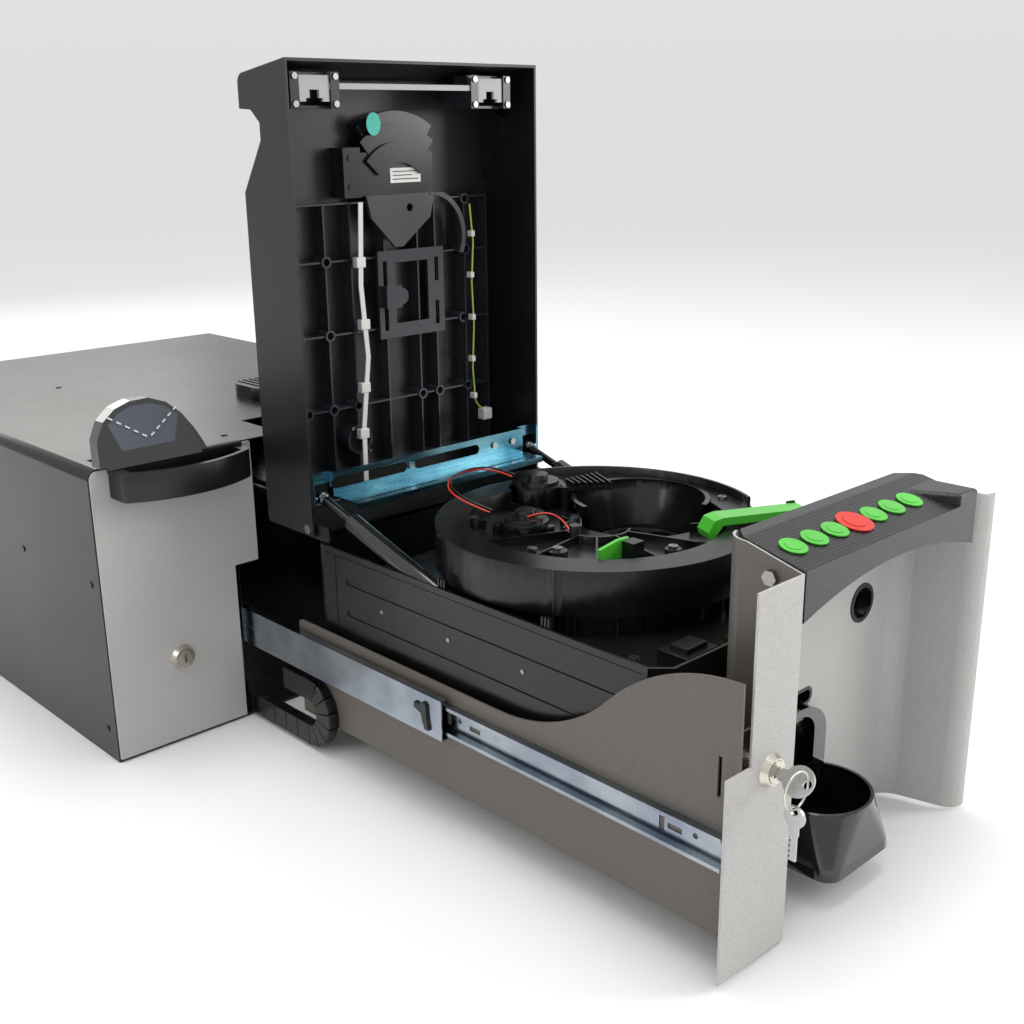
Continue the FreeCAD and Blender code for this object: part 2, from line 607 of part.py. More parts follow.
def coin_cup():
    """A tapered cup: square with round corners below, round at its rim."""
    x, deep = 317.0, (-s.travel + s.recess_depth).value - 0.01
    y, z0, z1, rad = -560.5, 24.0, 73.0, 43.5
    half, corner = 45.5, 15.0

    def square(half_x, half_y, height, round_by):
        c0 = point(x, y, height)
        edges, arcs = [], []
        for sx, sy in ((1, -1), (1, 1), (-1, 1), (-1, -1)):
            c = c0 + Vector(sx * (half_x - round_by), sy * (half_y - round_by), 0)
            a0 = {(1, -1): -90, (1, 1): 0, (-1, 1): 90, (-1, -1): 180}[(sx, sy)]
            ends = [c + Vector(math.cos(math.radians(a)), math.sin(math.radians(a)), 0) * round_by
                    for a in (a0, a0 + 45, a0 + 90)]
            arcs.append(ends)
        for i, arc in enumerate(arcs):
            edges.append(Part.Arc(*arc).toShape())
            edges.append(Part.LineSegment(arc[2], arcs[(i + 1) % 4][0]).toShape())
        return Part.Wire(edges)

    outer = Part.makeLoft([square(half, half, z0, corner), square(half - 1, half - 1, z0 + 8, corner)],
                          True, True)
    outer = outer.fuse(Part.makeLoft([square(half - 1, half - 1, z0 + 8, corner),
                                      square(rad, rad, z1, rad - 0.01)], True, True))
    inner = Part.makeLoft([square(half - 5, half - 5, z0 + 3, corner - 3),
                           square(rad - 2.6, rad - 2.6, z1 + 0.01, rad - 2.61)], True, True)
    cup = outer.cut(inner).common(Part.makeBox(200, 300, 200, point(x - 100, deep - 300, 0)))
    wedge = prism([(x - 8, y - 30, z0 + 2.5), (x + 14, y - 30, z0 + 2.5), (x + 3, y - 30, z0 + 13)],
                  (0, 18, 0))
    back = Part.makeBox(2 * half - 4, 2, z1 - z0, point(x - half + 2, deep - 2, z0))
    node("coin_cup", made("coin_cup", cup.fuse([wedge, back]).removeSplitter()))


def coin_bezel():
    """The hood over the recess: a sloped face behind an arched skirt, ending in a raised right cheek."""
    front, deep = -s.travel.value, (-s.travel + s.recess_depth).value
    left, right = s.recess_left.value + 0.3, 458.0
    hollow_channel = [
        (front, 250), (front, 288.5), (deep - 12, 301.5), (deep - 0.5, 301.5), (deep - 0.5, 262),
        (deep - 4, 262),
        (deep - 4, 297), (deep - 11, 297), (front + 4, 284.5), (front + 4, 250),
    ]
    channel = prism([(left, a, b) for a, b in hollow_channel], (right - left, 0, 0))
    cheek = prism([(409, deep - 14, 250), (432, front, 250), (right, front, 250), (right, front + 44, 250),
                   (right - 12, deep - 5, 250), (right - 30, deep - 4.5, 250), (409, deep - 4.5, 250)],
                   (0, 0, 48))
    cheek = cheek.makeFillet(3, [e for e in cheek.Edges if abs(e.CenterOfMass.z - 298) < 1e-3])
    arch_rad = 386.0
    arch = Part.makeCylinder(arch_rad, 80, point(341, front - 5, 270.4 - arch_rad), Vector(0, 1, 0))
    left_bend = prism([(220, deep + 1, 240), (235, deep + 1, 240), (220, deep - 14, 240)], (0, 0, 80))
    right_bend = prism([(440, deep + 1, 240), (462, deep + 1, 240), (462, deep - 22, 240)], (0, 0, 80))
    hood = channel.fuse(cheek).cut(Part.makeCompound([arch, left_bend, right_bend]))
    node("coin_inlet_bezel", made("coin_inlet_bezel", hood.removeSplitter()))


def coin_tray():
    """The tray under the machine; its side walls sweep up in an S to the front panel."""
    x0, x1, t = s.tray_left, s.tray_right, 2.0
    z0, low, high = s.tray_z.value, 125.0, 226.0
    y_back, y_front = -s.tray_back.value, -s.travel.value + 2.0
    bend_a, bend_b = -362.0, y_front
    run, rise = bend_a - bend_b, high - low
    rad = (run ** 2 + rise ** 2) / (4 * rise)
    middle_y, middle_z = (bend_a + bend_b) / 2, (low + high) / 2
    turn = 2 * math.atan2(rise, run)

    def wall(name, x, front):
        def at(y, z):
            return point(x, y, z)
        half = turn / 2
        arc_one = Part.Arc(at(bend_a, low), at(bend_a - rad * math.sin(half),
                                               low + rad * (1 - math.cos(half))),
                           at(middle_y, middle_z)).toShape()
        arc_two = Part.Arc(at(middle_y, middle_z),
                           at(bend_b + rad * math.sin(half), high - rad * (1 - math.cos(half))),
                           at(bend_b, high)).toShape()
        lines = [Part.LineSegment(at(bend_b, high), at(bend_b, z0)).toShape(),
                 Part.LineSegment(at(bend_b, z0), at(y_back, z0)).toShape(),
                 Part.LineSegment(at(y_back, z0), at(y_back, low - 5)).toShape(),
                 Part.Arc(at(y_back, low - 5), at(y_back - 1.5, low - 1.5), at(y_back - 5, low)).toShape(),
                 Part.LineSegment(at(y_back - 5, low), at(bend_a, low)).toShape()]
        sheet = Part.Face(Part.Wire([arc_one, arc_two] + lines)).extrude(Vector(t, 0, 0))
        return made(name, sheet)

    left_wall = wall("tray_wall_left", x0, y_front)
    slot = box("tray_slot", (x0 - 1, x0 + 4), (-583, -580), (137, 168))
    right_wall = wall("tray_wall_right", x1 - t, y_front)
    right_cut = box("tray_right_cut", (x1 - 4, x1 + 2), (-s.travel - 5, -s.travel + 27), (0, 300))
    floor = box("tray_floor", (x0, x1), (-s.travel + 2, -s.tray_back), (s.tray_z, s.tray_z + t))
    recess = box("tray_recess", (s.recess_left - 2, x1 + 1),
                 (-s.travel - 5, -s.travel + s.recess_depth + 2), (0, 60))
    back = box("tray_back_wall", (x0, x1), (-s.tray_back - t, -s.tray_back), (s.tray_z, 70))
    node("coin_tray", cut("coin_tray", join("tray_sheets", left_wall, right_wall, floor, back),
                          slot, right_cut, recess))


def coin_lock_and_keys():
    face = -s.travel
    x, z = s.coin_lock_x, s.coin_lock_z
    lock("coin", x, face, z, 45)

    # the key in the lock: a round bow, a shoulder and the blade, turned with the keyway
    centre, bow_y, hole_y = point(x, face, z), -23.0, -30.0
    bow = Part.makeCylinder(11.5, 2.2, Vector(-1.1, bow_y, 0), AXES["X"])
    neck = Part.makeBox(2.2, 5, 9, Vector(-1.1, bow_y + 10, -4.5))
    blade = Part.makeBox(2.0, 13, 6.4, Vector(-1.0, bow_y + 10, -3.2))
    eye = Part.makeCylinder(3.2, 6, Vector(-3, hole_y, 0), AXES["X"])
    key = bow.fuse([neck, blade]).cut(eye).removeSplitter()
    key.rotate(Vector(), AXES["Y"], 45)
    key.translate(centre)
    node("lock_key", made("lock_key", key))

    # the ring leans out to the left through the bow's eye; the spare key hangs from the ring's lowest point
    ring_rad, out, up = 13.5, -13.44, 1.3
    ring_centre = (x + out, face + hole_y, z + up)
    node("key_ring", torus("key_ring", "Y", ring_centre, ring_rad, 1.6))
    low = point(*ring_centre) - AXES["Z"] * (ring_rad + 1.9)
    bow = Part.makeCylinder(8, 2.2, low + Vector(-1.1, 0, -4), AXES["X"])
    neck = Part.makeBox(2.2, 7, 9, low + Vector(-1.1, -3.5, -18))
    blade = Part.makeBox(1.8, 5.4, 20, low + Vector(-0.9, -2.7, -37))
    teeth = [Part.makeBox(3, 1.6, 1.6, low + Vector(-1.5, 1.5, -35 + 4 * i)) for i in range(4)]
    eye = Part.makeCylinder(3, 6, low + Vector(-3, 0, 0), AXES["X"])
    spare = bow.fuse([neck, blade]).cut(Part.makeCompound([eye] + teeth)).removeSplitter()
    node("spare_key", made("spare_key", spare))


def release_levers():
    """The small hold-in lever on the face of each middle slide member."""
    for wall, side, word in ((s.divider_low + 1.5, 1, "left"), (s.cab_w - s.sheet, -1, "right")):
        y, z = -s.travel.value / 2 + 20, s.slide_z.value
        outer = wall.value + side * 1.75
        inner = outer - side * 2.2
        x = min(outer, inner)
        hub = Part.makeCylinder(4.5, 2.2, point(x, y, z + 7), Vector(1, 0, 0))
        arm = prism([(x, y - 4, z + 8), (x, y + 4, z + 8), (x, y + 1, z - 6), (x, y - 2, z - 13),
                     (x, y - 7, z - 13),
                     (x, y - 5, z - 4)], (2.2, 0, 0))
        ear = prism([(x, y, z + 6), (x, y + 11, z + 9), (x, y + 12, z + 4), (x, y + 3, z + 1)], (2.2, 0, 0))
        node(f"release_lever_{word}", made(f"release_lever_{word}", hub.fuse([arm, ear]).removeSplitter()))


# ---------------------------------------------------------------------------------------------------------
# Coin machine on the tray


def machine_case():
    """The case: an open box with cut front corners, beads along both sides, spring studs and lid catches."""
    x0, x1, y0, y1 = s.mach_left, s.mach_right, -s.mach_front, -s.mach_back
    w = s.mach_wall
    corner = 14
    outline = [(x0, y0 + corner), (x0 + corner, y0), (x1 - corner, y0), (x1, y0 + corner), (x1, y1),
               (x0, y1)]
    case = profile("case_block", "XY", outline, s.mach_z, s.mach_top - s.mach_z, rounds=[(4, 16), (5, 16)])
    inner = [(x0 + w, y0 + corner + 1), (x0 + corner + 1, y0 + w), (x1 - corner - 1, y0 + w),
             (x1 - w, y0 + corner + 1), (x1 - w, y1 - w), (x0 + w, y1 - w)]
    room = profile("case_space", "XY", inner, s.mach_z + w, 200, rounds=[(4, 13.5), (5, 13.5)])
    grooves = []
    for word, x in (("left", x0 - 1), ("right", x1 - 1.2)):
        for row, (z, front) in enumerate(((178, -486), (147, -500), (116, -500), (85, -500))):
            span = (x, x + 2.2)
            name = f"bead_{word}_{row}"
            grooves.append(join(name, box(name + "_bar", span, (front, -150), (z - 3.4, z + 3.4)),
                                rod(name + "_a", "X", (x, front, z), 3.4, 2.2),
                                rod(name + "_b", "X", (x, -150, z), 3.4, 2.2)))
    seam = box("case_seam", (x0 - 1, x0 + 0.6), (-132.5, -131), (s.mach_z + 4, s.mach_top - 6))
    lip_line = [box(f"case_lip_{i}", (x, x + 1.6), (y0 + corner + 4, y1 - 20),
                    (s.mach_top - 6.4, s.mach_top - 4.8))
                for i, x in enumerate((x0 - 1, x1 - 0.6))]
    studs = [rod(f"foot_stud_{i}", "X", (x, -s.spring_foot_y, s.spring_foot_z), 2.5, 15)
             for i, x in enumerate((x0 + w - 0.5, x1 - w - 14.5))]
    catches = []
    for i, y in enumerate((-403, -280)):
        for k in range(3):
            for word, x in (("left", x0 + 2), ("right", x1 - 6)):
                catches.append(box(f"catch_{word}_{i}_{k}", (x, x + 4),
                                   (y + 3.6 * k - 4.6, y + 3.6 * k - 2.8),
                                   (s.mach_top - 8, s.mach_top + 8)))
    shell = cut("machine_case_cut", case, room, seam, *grooves, *lip_line)
    node("machine_case", join("machine_case", shell, *studs, *catches))


def lever_bearing(z):
    """The post, two cheeks and pin that carry the right green lever, turned with it."""
    post = Part.makeCylinder(9, 44, Vector(0, 0, z)).fuse([
        Part.makeBox(12, 26, 10, Vector(-6, -13, z + 38)),
        Part.makeBox(8, 2.4, 26, Vector(-4, -13, z + 40)),
        Part.makeBox(8, 2.4, 26, Vector(-4, 10.6, z + 40)),
        Part.makeCylinder(2, 22, Vector(0, -11, z + 61), AXES["Y"])])
    post = post.removeSplitter()
    post.rotate(Vector(), AXES["Z"], -23)
    post.translate(point(441, -447, 0))
    return made("lever_bearing", post)


def deck():
    """The plate under the sorting ring, open beside the springs and at the back for the hinge bracket."""
    x0, x1 = s.mach_left + s.mach_wall, s.mach_right - s.mach_wall
    y0, y1 = -s.mach_front + s.mach_wall + 0.05, -s.mach_back - s.mach_wall
    plate = profile("deck_plate", "XY", [(x0, y0 + 12.6), (x0 + 12.6, y0), (x1 - 12.6, y0), (x1, y0 + 12.6),
                                         (x1, y1 - 66), (x0, y1 - 66)], s.deck_z - 4, 4,
                    holes=[(s.bowl_x, -s.bowl_y, 30)])
    side = 21
    slots = [box(f"deck_slot_{i}", span, (-348, -90), (140, 200))
             for i, span in enumerate(((x0 - 1, x0 + side), (x1 - side, x1 + 1)))]
    rear = box("deck_rear", (x0, x1), (y1 - 66, y1 - 64), (s.deck_z - 40, s.deck_z))
    z = s.deck_z
    pads = [box("pad_left", (205, 243), (-514, -486), (z, z + 13)),
            box("pad_left_top", (212, 236), (-509, -492), (z, z + 17)),
            box("pad_middle", (262, 318), (-512, -478), (z, z + 4)),
            box("pad_middle_low", (270, 284), (-508, -496), (z, z + 7)),
            box("pad_middle_high", (296, 310), (-500, -486), (z, z + 7)),
            box("pad_right", (392, 430), (-514, -486), (z, z + 13)),
            lever_bearing(z)]
    plain = cut("deck_cut", join("deck_sheets", plate, rear, *pads), *slots)
    # ears that carry the lid's pins, standing behind the springs at both sides
    ears = []
    for word, x in (("left", x0 + 0.8), ("right", x1 - 3)):
        leg = box(f"ear_leg_{word}", (x, x + 2.8), (-119.5, -112.5), (s.deck_z - 40, s.pivot_z + 6))
        arm = box(f"ear_arm_{word}", (x, x + 2.8), (-119.5, -84), (s.mach_top + 1, s.pivot_z + 6))
        ear = join(f"ear_{word}", leg, arm)
        ears.append(cut(f"ear_bored_{word}", ear,
                        rod(f"ear_bore_{word}", "X", (x - 1, -s.pivot_y, s.pivot_z), 3.05, 5)))
    node("machine_deck", group("machine_deck", plain, *ears))


def sorting_ring():
    """The ring housing: outer wall, flat top, sunk inner plate with ribs and posts, a finned skirt below."""
    x, y = s.ring_x.value, -s.ring_y.value
    z0, z1, rad = s.ring_z.value, s.ring_top.value, s.ring_rad.value
    top_t, wall, inner_rad, plate_z = 3.0, 2.6, 116.0, 226.0
    deck_z = s.deck_z.value

    def tube(outer, inner, low, high):
        return Part.makeCylinder(outer, high - low, point(x, y, low)).cut(
            Part.makeCylinder(inner, high - low, point(x, y, low)))

    def sector(start, end, low, high):
        steps = [start + (end - start) * i / 6 for i in range(7)]
        fan = [(x + 400 * math.cos(math.radians(a)), y + 400 * math.sin(math.radians(a)), low)
               for a in steps]
        return prism([(x, y, low)] + fan, (0, 0, high - low))

    def spoke(near, far, thick, low, high, angle):
        blade = Part.makeBox(far - near, thick, high - low, Vector(near, -thick / 2, 0))
        blade.rotate(Vector(), AXES["Z"], angle)
        blade.translate(point(x, y, low))
        return blade

    body = tube(rad, rad - wall, z0, z1).fuse([
        tube(rad, inner_rad - 2.4, z1 - top_t, z1), tube(inner_rad, inner_rad - 2.4, plate_z, z1),
        Part.makeCylinder(inner_rad, 3, point(x, y, plate_z))])
    hopper = Part.makeCylinder(s.bowl_rad.value + 4.6, 60, point(s.bowl_x, -s.bowl_y, z0 - 20))
    rear_motor = Part.makeCylinder(30, 30, point(349, -219, plate_z + 3)).fuse(
        Part.makeCylinder(9, 30, point(322, -229, plate_z + 3))).common(
        Part.makeCylinder(rad - wall - 0.4, 40, point(x, y, plate_z)))
    front_motor = Part.makeCylinder(36, 20, point(280, -270, plate_z + 3))
    ribs = [spoke(28, inner_rad - 1, 1.8, plate_z + 3, plate_z + 11, 360 / 11 * i + 26) for i in range(11)]
    inner = Part.makeCompound(ribs + [tube(30, 28, plate_z + 3, plate_z + 11)])
    posts = [Part.makeCylinder(6, plate_z - deck_z, point(x + dx, y + dy, deck_z))
             for dx, dy in ((-75, -75), (-75, 75), (-20, -108), (88, -70))]
    bosses = [Part.makeCylinder(r, h, point(bx, by, plate_z + 2))
              for bx, by, r, h in ((247, -342, 8.5, 8), (229, -330, 6.5, 8), (289, -322, 5, 16),
                                   (318, -408, 7, 8),
                                   (406, -389, 6, 16), (252, -232, 5, 12))]
    bosses.append(prism([(264.5, -398, plate_z + 2), (277.5, -398, plate_z + 2),
                         (277.5, -410.5, plate_z + 2),
                         (264.5, -410.5, plate_z + 2)], (0, 0, 25)))
    lever_pin = Part.makeCylinder(2, 5, point(273.5, -398.5, plate_z + 8.5), AXES["Y"])
    body = body.cut(Part.makeCompound([hopper, rear_motor]))
    inner = inner.cut(hopper.fuse([rear_motor, front_motor]))
    guard = tube(rad, rad - wall, z1 - 1, z1 + 8).common(sector(-32, 78, z1 - 1, z1 + 9))
    seam = spoke(rad - 1, rad + 1.6, 1.8, z0 - 3, z1, -151)
    skirt_rad = 131.5
    skirt = tube(skirt_rad, skirt_rad - 2.4, deck_z, z0 + 3).common(sector(-153, -40, deck_z, z0 + 3))
    floor = tube(rad - 0.5, skirt_rad - 2.4, z0, z0 + 2).common(sector(-153, -40, z0, z0 + 2))
    fins = [spoke(skirt_rad - 1, skirt_rad + 6, 1.8, deck_z, z0 + 1, a)
            for a in [-152, -149.5, -147, -144.5] + [-140.7 + 10.2 * i for i in range(10)]]
    body = body.fuse(posts + inner.Solids + bosses + [lever_pin, guard, seam, skirt, floor] + fins)
    node("sorting_ring", made("sorting_ring", body.removeSplitter()))


def bowl_and_disc():
    """The coin bowl, cut low at its front, and the pocketed disc that turns as its floor."""
    x, y = s.bowl_x.value, -s.bowl_y.value
    rad, low_rad = s.bowl_rad.value, 46.0
    z0, z1 = 198.0, s.ring_top.value + 2
    outer = Part.makeCone(low_rad + 2, rad + 2, z1 - z0, point(x, y, z0))
    inner = Part.makeCone(low_rad, rad, z1 - z0, point(x, y, z0))
    rim = Part.makeCylinder(rad + 4, 2, point(x, y, z1 - 2)).cut(Part.makeCylinder(rad - 0.7, 5,
                                                                                   point(x, y, z1 - 3)))
    fan = [(x + 200 * math.cos(math.radians(a)), y + 200 * math.sin(math.radians(a)), z0 + 14)
           for a in range(168, 290, 10)]
    front = prism([(x, y, z0 + 14)] + fan, (0, 0, 60))
    bars = []
    for angle in (166, 290):
        bar = Part.makeBox(8, 3, z1 - z0 - 4, Vector(low_rad + 3, -1.5, 0))
        bar.rotate(Vector(), AXES["Z"], angle)
        bar.translate(point(x, y, z0 + 2))
        bars.append(bar.cut(Part.makeCone(low_rad + 1, rad + 1, z1 - z0, point(x, y, z0))))
    bowl = outer.cut(inner).fuse(rim).cut(front).fuse(bars)
    node("sorting_bowl", made("sorting_bowl", bowl.removeSplitter()))
    disc = Part.makeCylinder(low_rad - 1.5, 4, point(x, y, z0 + 1))
    hub = Part.makeCone(9, 4, 8, point(x, y, z0 + 5))
    spindle = Part.makeCylinder(4, 30, point(x, y, z0 - 28))
    pockets = [Part.makeCylinder(11.5, 6, point(x + 28 * math.cos(math.radians(60 * i)),
                                                y + 28 * math.sin(math.radians(60 * i)),
                                                z0)) for i in range(6)]
    node("sorting_disc", made("sorting_disc", disc.fuse([hub, spindle]).cut(Part.makeCompound(pockets))))


def gear_motor(name, x, y, z, rad, length, high, angle):
    """A flat gearbox with screw ears and a round motor boss."""
    case = Part.makeCylinder(rad, high, Vector(0, 0, 0))
    tail = Part.makeCylinder(rad * 0.62, high, Vector(length, 0, 0))
    bridge = Part.makeBox(length, rad * 1.2, high, Vector(0, -rad * 0.6, 0))
    boss = Part.makeCylinder(rad * 0.42, high * 0.55, Vector(length * 0.35, 0, high))
    step = Part.makeCylinder(rad * 0.78, high * 0.18, Vector(0, 0, high))
    ears = []
    for a in (100, 190, 260):
        ex, ey = rad * 1.08 * math.cos(math.radians(a)), rad * 1.08 * math.sin(math.radians(a))
        ears.append(Part.makeCylinder(4.5, high * 0.7, Vector(ex, ey, 0)))
    ears.append(Part.makeCylinder(4.5, high * 0.7, Vector(length + rad * 0.6, 0, 0)))
    shape = case.fuse([tail, bridge, boss, step] + ears).removeSplitter()
    shape.rotate(Vector(0, 0, 0), Vector(0, 0, 1), angle)
    shape.translate(point(x, y, z))
    node(name, made(name, shape))


def deck_levers():
    """The two green release levers and the ribbed black one."""
    z = 229.0
    blade = prism([(240, -397.6, z + 12), (239, -397.6, z + 22), (262, -397.6, z + 25.5),
                   (274, -397.6, z + 25),
                   (274, -397.6, z + 13), (264, -397.6, z + 12.5), (256, -397.6, z + 11)], (0, 3.6, 0))
    foot = prism([(256, -397.6, z + 2), (256, -397.6, z + 12), (264, -397.6, z + 13), (266, -397.6, z + 10),
                  (280, -397.6, z + 9), (280, -397.6, z + 2)], (0, 3.6, 0))
    bore = Part.makeCylinder(2.05, 8, point(273.5, -400, z + 5.5), AXES["Y"])
    node("green_lever_left", made("green_lever_left", blade.fuse(foot).removeSplitter().cut(bore)))

    # the strap reaches from its post inwards over the ring's top and hooks down inside it
    path = [(-92, z + 9), (-88, z + 9), (-80, z + 20), (3, z + 18.5), (5, z + 20), (5, z + 25.5),
            (-80, z + 27),
            (-88, z + 25), (-94, z + 15)]
    corner = point(0, 0, 0)
    wire = Part.makePolygon([Vector(a, -10, b) for a, b in path + [path[0]]])
    strap = Part.Face(wire).extrude(Vector(0, 20, 0))
    strap = strap.makeFillet(1.5, [e for e in strap.Edges if e.Curve.TypeId == "Part::GeomLine" and
                                   abs(abs(e.Curve.Direction.y) - 1) < 1e-6 and e.CenterOfMass.z > z + 15])
    strap = strap.cut(Part.makeCylinder(2.1, 30, Vector(0, -15, z + 22), AXES["Y"]))
    strap.rotate(Vector(), AXES["Z"], -23)
    strap.translate(corner + Vector(441, -447, 0))
    node("green_lever_right", made("green_lever_right", strap))

    arm = Part.makeCylinder(5, 23, point(349, -253, z + 0.2))
    thumb = prism([(344, -256, z + 21), (350, -244, z + 21), (392, -250, z + 21), (376, -284, z + 21)],
                  (0, 0, 3))
    fins = []
    for i in range(7):
        k = i / 6
        a = (356 + 36 * k, -246 - 4 * k)
        b = (350 + 26 * k, -262 - 22 * k)
        fins.append(prism([(a[0], a[1], z + 22.5), (a[0] + 1.6, a[1], z + 22.5),
                           (b[0] + 1.6, b[1], z + 22.5),
                           (b[0], b[1], z + 22.5)], (0, 0, 6)))
    node("ribbed_lever", made("ribbed_lever", arm.fuse([thumb] + fins).removeSplitter()))


# ---------------------------------------------------------------------------------------------------------
# Gas springs


def gas_springs():
    """A tube pivoted low in the case and a piston rod that reaches up beside the hinge bracket's stud."""
    foot_y, foot_z = -s.spring_foot_y.value, s.spring_foot_z.value
    head_y, head_z = -s.spring_head_y.value, s.spring_head_z.value
    run, rise = head_y - foot_y, head_z - foot_z
    reach = math.hypot(run, rise)
    along = Vector(0, run / reach, rise / reach)
    for word, x in (("left", s.mach_left + s.spring_inset), ("right", s.mach_right - s.spring_inset)):
        foot, head = point(x, foot_y, foot_z), point(x, head_y, head_z)
        tube_len = reach - 62
        eye = Part.makeCylinder(5.5, 8, foot + Vector(-4, 0, 0), Vector(1, 0, 0)).cut(
            Part.makeCylinder(2.6, 10, foot + Vector(-5, 0, 0), Vector(1, 0, 0)))
        neck = Part.makeCylinder(3.5, 10, foot + along * 5, along)
        tube = Part.makeCylinder(s.tube_rad.value, tube_len, foot + along * 14, along).cut(
            Part.makeCylinder(s.piston_rad.value + 0.3, 90, foot + along * (14 + tube_len - 82), along))
        node(f"gas_tube_{word}", made(f"gas_tube_{word}", tube.fuse([neck, eye]).removeSplitter()))
        rod_len = 90
        piston = Part.makeCylinder(s.piston_rad.value, rod_len, head - along * (rod_len + 4), along)
        socket = Part.makeSphere(6.5, head).common(
            Part.makeBox(11, 20, 20, head + Vector(-5.5, -10, -10)))
        node(f"gas_piston_{word}", made(f"gas_piston_{word}", piston.fuse(socket).removeSplitter()))


# ---------------------------------------------------------------------------------------------------------
# Lid


def lid():
    """The lid stands open: a tall tray whose rim faces the front, with finger recesses in its sides."""
    x0, x1, w = s.lid_left, s.lid_right, s.lid_wall
    rim, back, z0, z1 = -s.rim_y, -s.lid_back, s.lid_low, s.lid_high
    outer = profile("lid_outer", "YZ", [(rim, z0), (back, z0), (back, z1 - 11), (rim, z1)], x0, x1 - x0,
                    rounds=[(1, 5), (2, 9)])
    inner = profile("lid_inner", "YZ", [(rim - 1, z0 + w), (back - w, z0 + w), (back - w, z1 - 13.5),
                                        (rim - 1, z1 - w)],
                    x0 + w, x1 - x0 - 2 * w, rounds=[(1, 3), (2, 6)])
    recess, right_recess = 24, 8

    def notch(word, grow, start, wide):
        side = [(-56 - grow, 566 - grow * 0.4), (-56 - grow, 581 + grow), (-43 - grow, 592 + grow * 1.1),
                (-10, 594 + grow),
                (-10, 512 - grow), (-25, 521 - grow)]
        return profile(f"lid_notch_{word}", "YZ", side, start, wide)

    hollow = cut("lid_hollow", inner, notch("in_left", 2.5, x0 - 1, recess + 1 + 2.5),
                 notch("in_right", 2.5, x1 - right_recess - 2.5, right_recess + 1 + 2.5))
    pass_by = [box(f"lid_pass_{i}", span, (rim - 1, -79), (z0 - 1, z0 + 3))
               for i, span in enumerate(((x0 + 3.4, x0 + 8), (x1 - 8, x1 - 4.1)))]
    shell = cut("lid_cut", outer, hollow, notch("out_left", 0, x0 - 1, recess + 1),
                notch("out_right", 0, x1 - right_recess, right_recess + 1), *pass_by)
    node("lid_shell", shell)

    floor = back - w
    top, bottom = 508, 246
    rows = (311, 384, 454)
    columns = (239, 269, 310, 352, 375, 415)
    t = 1.7
    parts = []
    for i, z in enumerate(rows):
        parts.append(box(f"rib_row_{i}", (188, 446), (-s.rib_y, floor), (z - t / 2, z + t / 2)))
    for i, x in enumerate(columns):
        parts.append(box(f"rib_column_{i}", (x - t / 2, x + t / 2), (-s.rib_y + 0.5, floor), (bottom, top)))
    parts += [box("rib_bottom", (188, 446), (-s.rib_y, floor), (bottom, bottom + t)),
              box("rib_top", (188, 446), (-s.rib_y, floor), (top - t, top)),
              box("rib_left", (188, 188 + t), (-s.rib_y, floor), (bottom, top)),
              box("rib_right", (446 - t, 446), (-s.rib_y, floor), (bottom, top))]
    bosses, holes = [], []
    for i, (x, z) in enumerate([(209, 311), (239, 311), (269, 311), (352, 311), (375, 311), (415, 311),
                                (204, 384),
                                (239, 384), (375, 384), (410, 384), (203, 454), (239, 454), (415, 454),
                                (415, 505)]):
        bosses.append(rod(f"boss_{i}", "Y", (x, -s.rib_y - 1.5, z), 5.6, s.rib_y + 1.5 - s.lid_back - w))
        holes.append(rod(f"boss_hole_{i}", "Y", (x, -s.rib_y - 2.5, z), 3.6, 14))
    big = (268, 277)
    bosses.append(rod("boss_big", "Y", (big[0], -s.rib_y - 2, big[1]), 15, s.rib_y + 2 - s.lid_back - w))
    holes.append(rod("boss_big_hole", "Y", (big[0], -s.rib_y - 3, big[1]), 12.6, 16))
    node("lid_ribs", cut("lid_ribs", join("lid_rib_plates", *parts, *bosses), *holes))

    # a blue-zinc bracket ties the lid's side walls together above the pivots and carries the spring studs
    y_face, ends = -s.rim_y - 1.6, (x0 + w, x1 - w)
    plate = box("bracket_plate", (ends[0] + 0.01, ends[1] - 0.01), (y_face, y_face + 1.5), (244, 268))
    shelf = box("bracket_shelf", (196, 436), (-135, y_face + 1.5), (242.5, 244))
    lip = box("bracket_lip", (196, 436), (-135, -133.5), (238, 244))
    cheeks = [box("bracket_cheek_left", (ends[0], ends[0] + 1.5), (y_face, -60), (238, 268)),
              box("bracket_cheek_right", (ends[1] - 1.5, ends[1]), (y_face, -60), (238, 268))]
    studs = [rod("spring_stud_left", "X", (ends[0] + 1.5, -s.spring_head_y, s.spring_head_z), 1.9, 3.1),
             rod("spring_stud_right", "X", (ends[1] - 4.6, -s.spring_head_y, s.spring_head_z), 1.9, 3.1)]
    slots = []
    for i, (a, b) in enumerate(((196, 276), (296, 372))):
        slots += [box(f"bracket_slot_{i}", (a, b), (y_face - 3, y_face + 5), (252, 262)),
                  rod(f"bracket_slot_a{i}", "Y", (a, y_face - 3, 257), 5, 8),
                  rod(f"bracket_slot_b{i}", "Y", (b, y_face - 3, 257), 5, 8)]
    slits = [box(f"bracket_slit_{i}", (a, b), (-127, -124.5), (230, 250)) for i,
             (a, b) in enumerate(((210, 300), (318, 415)))]
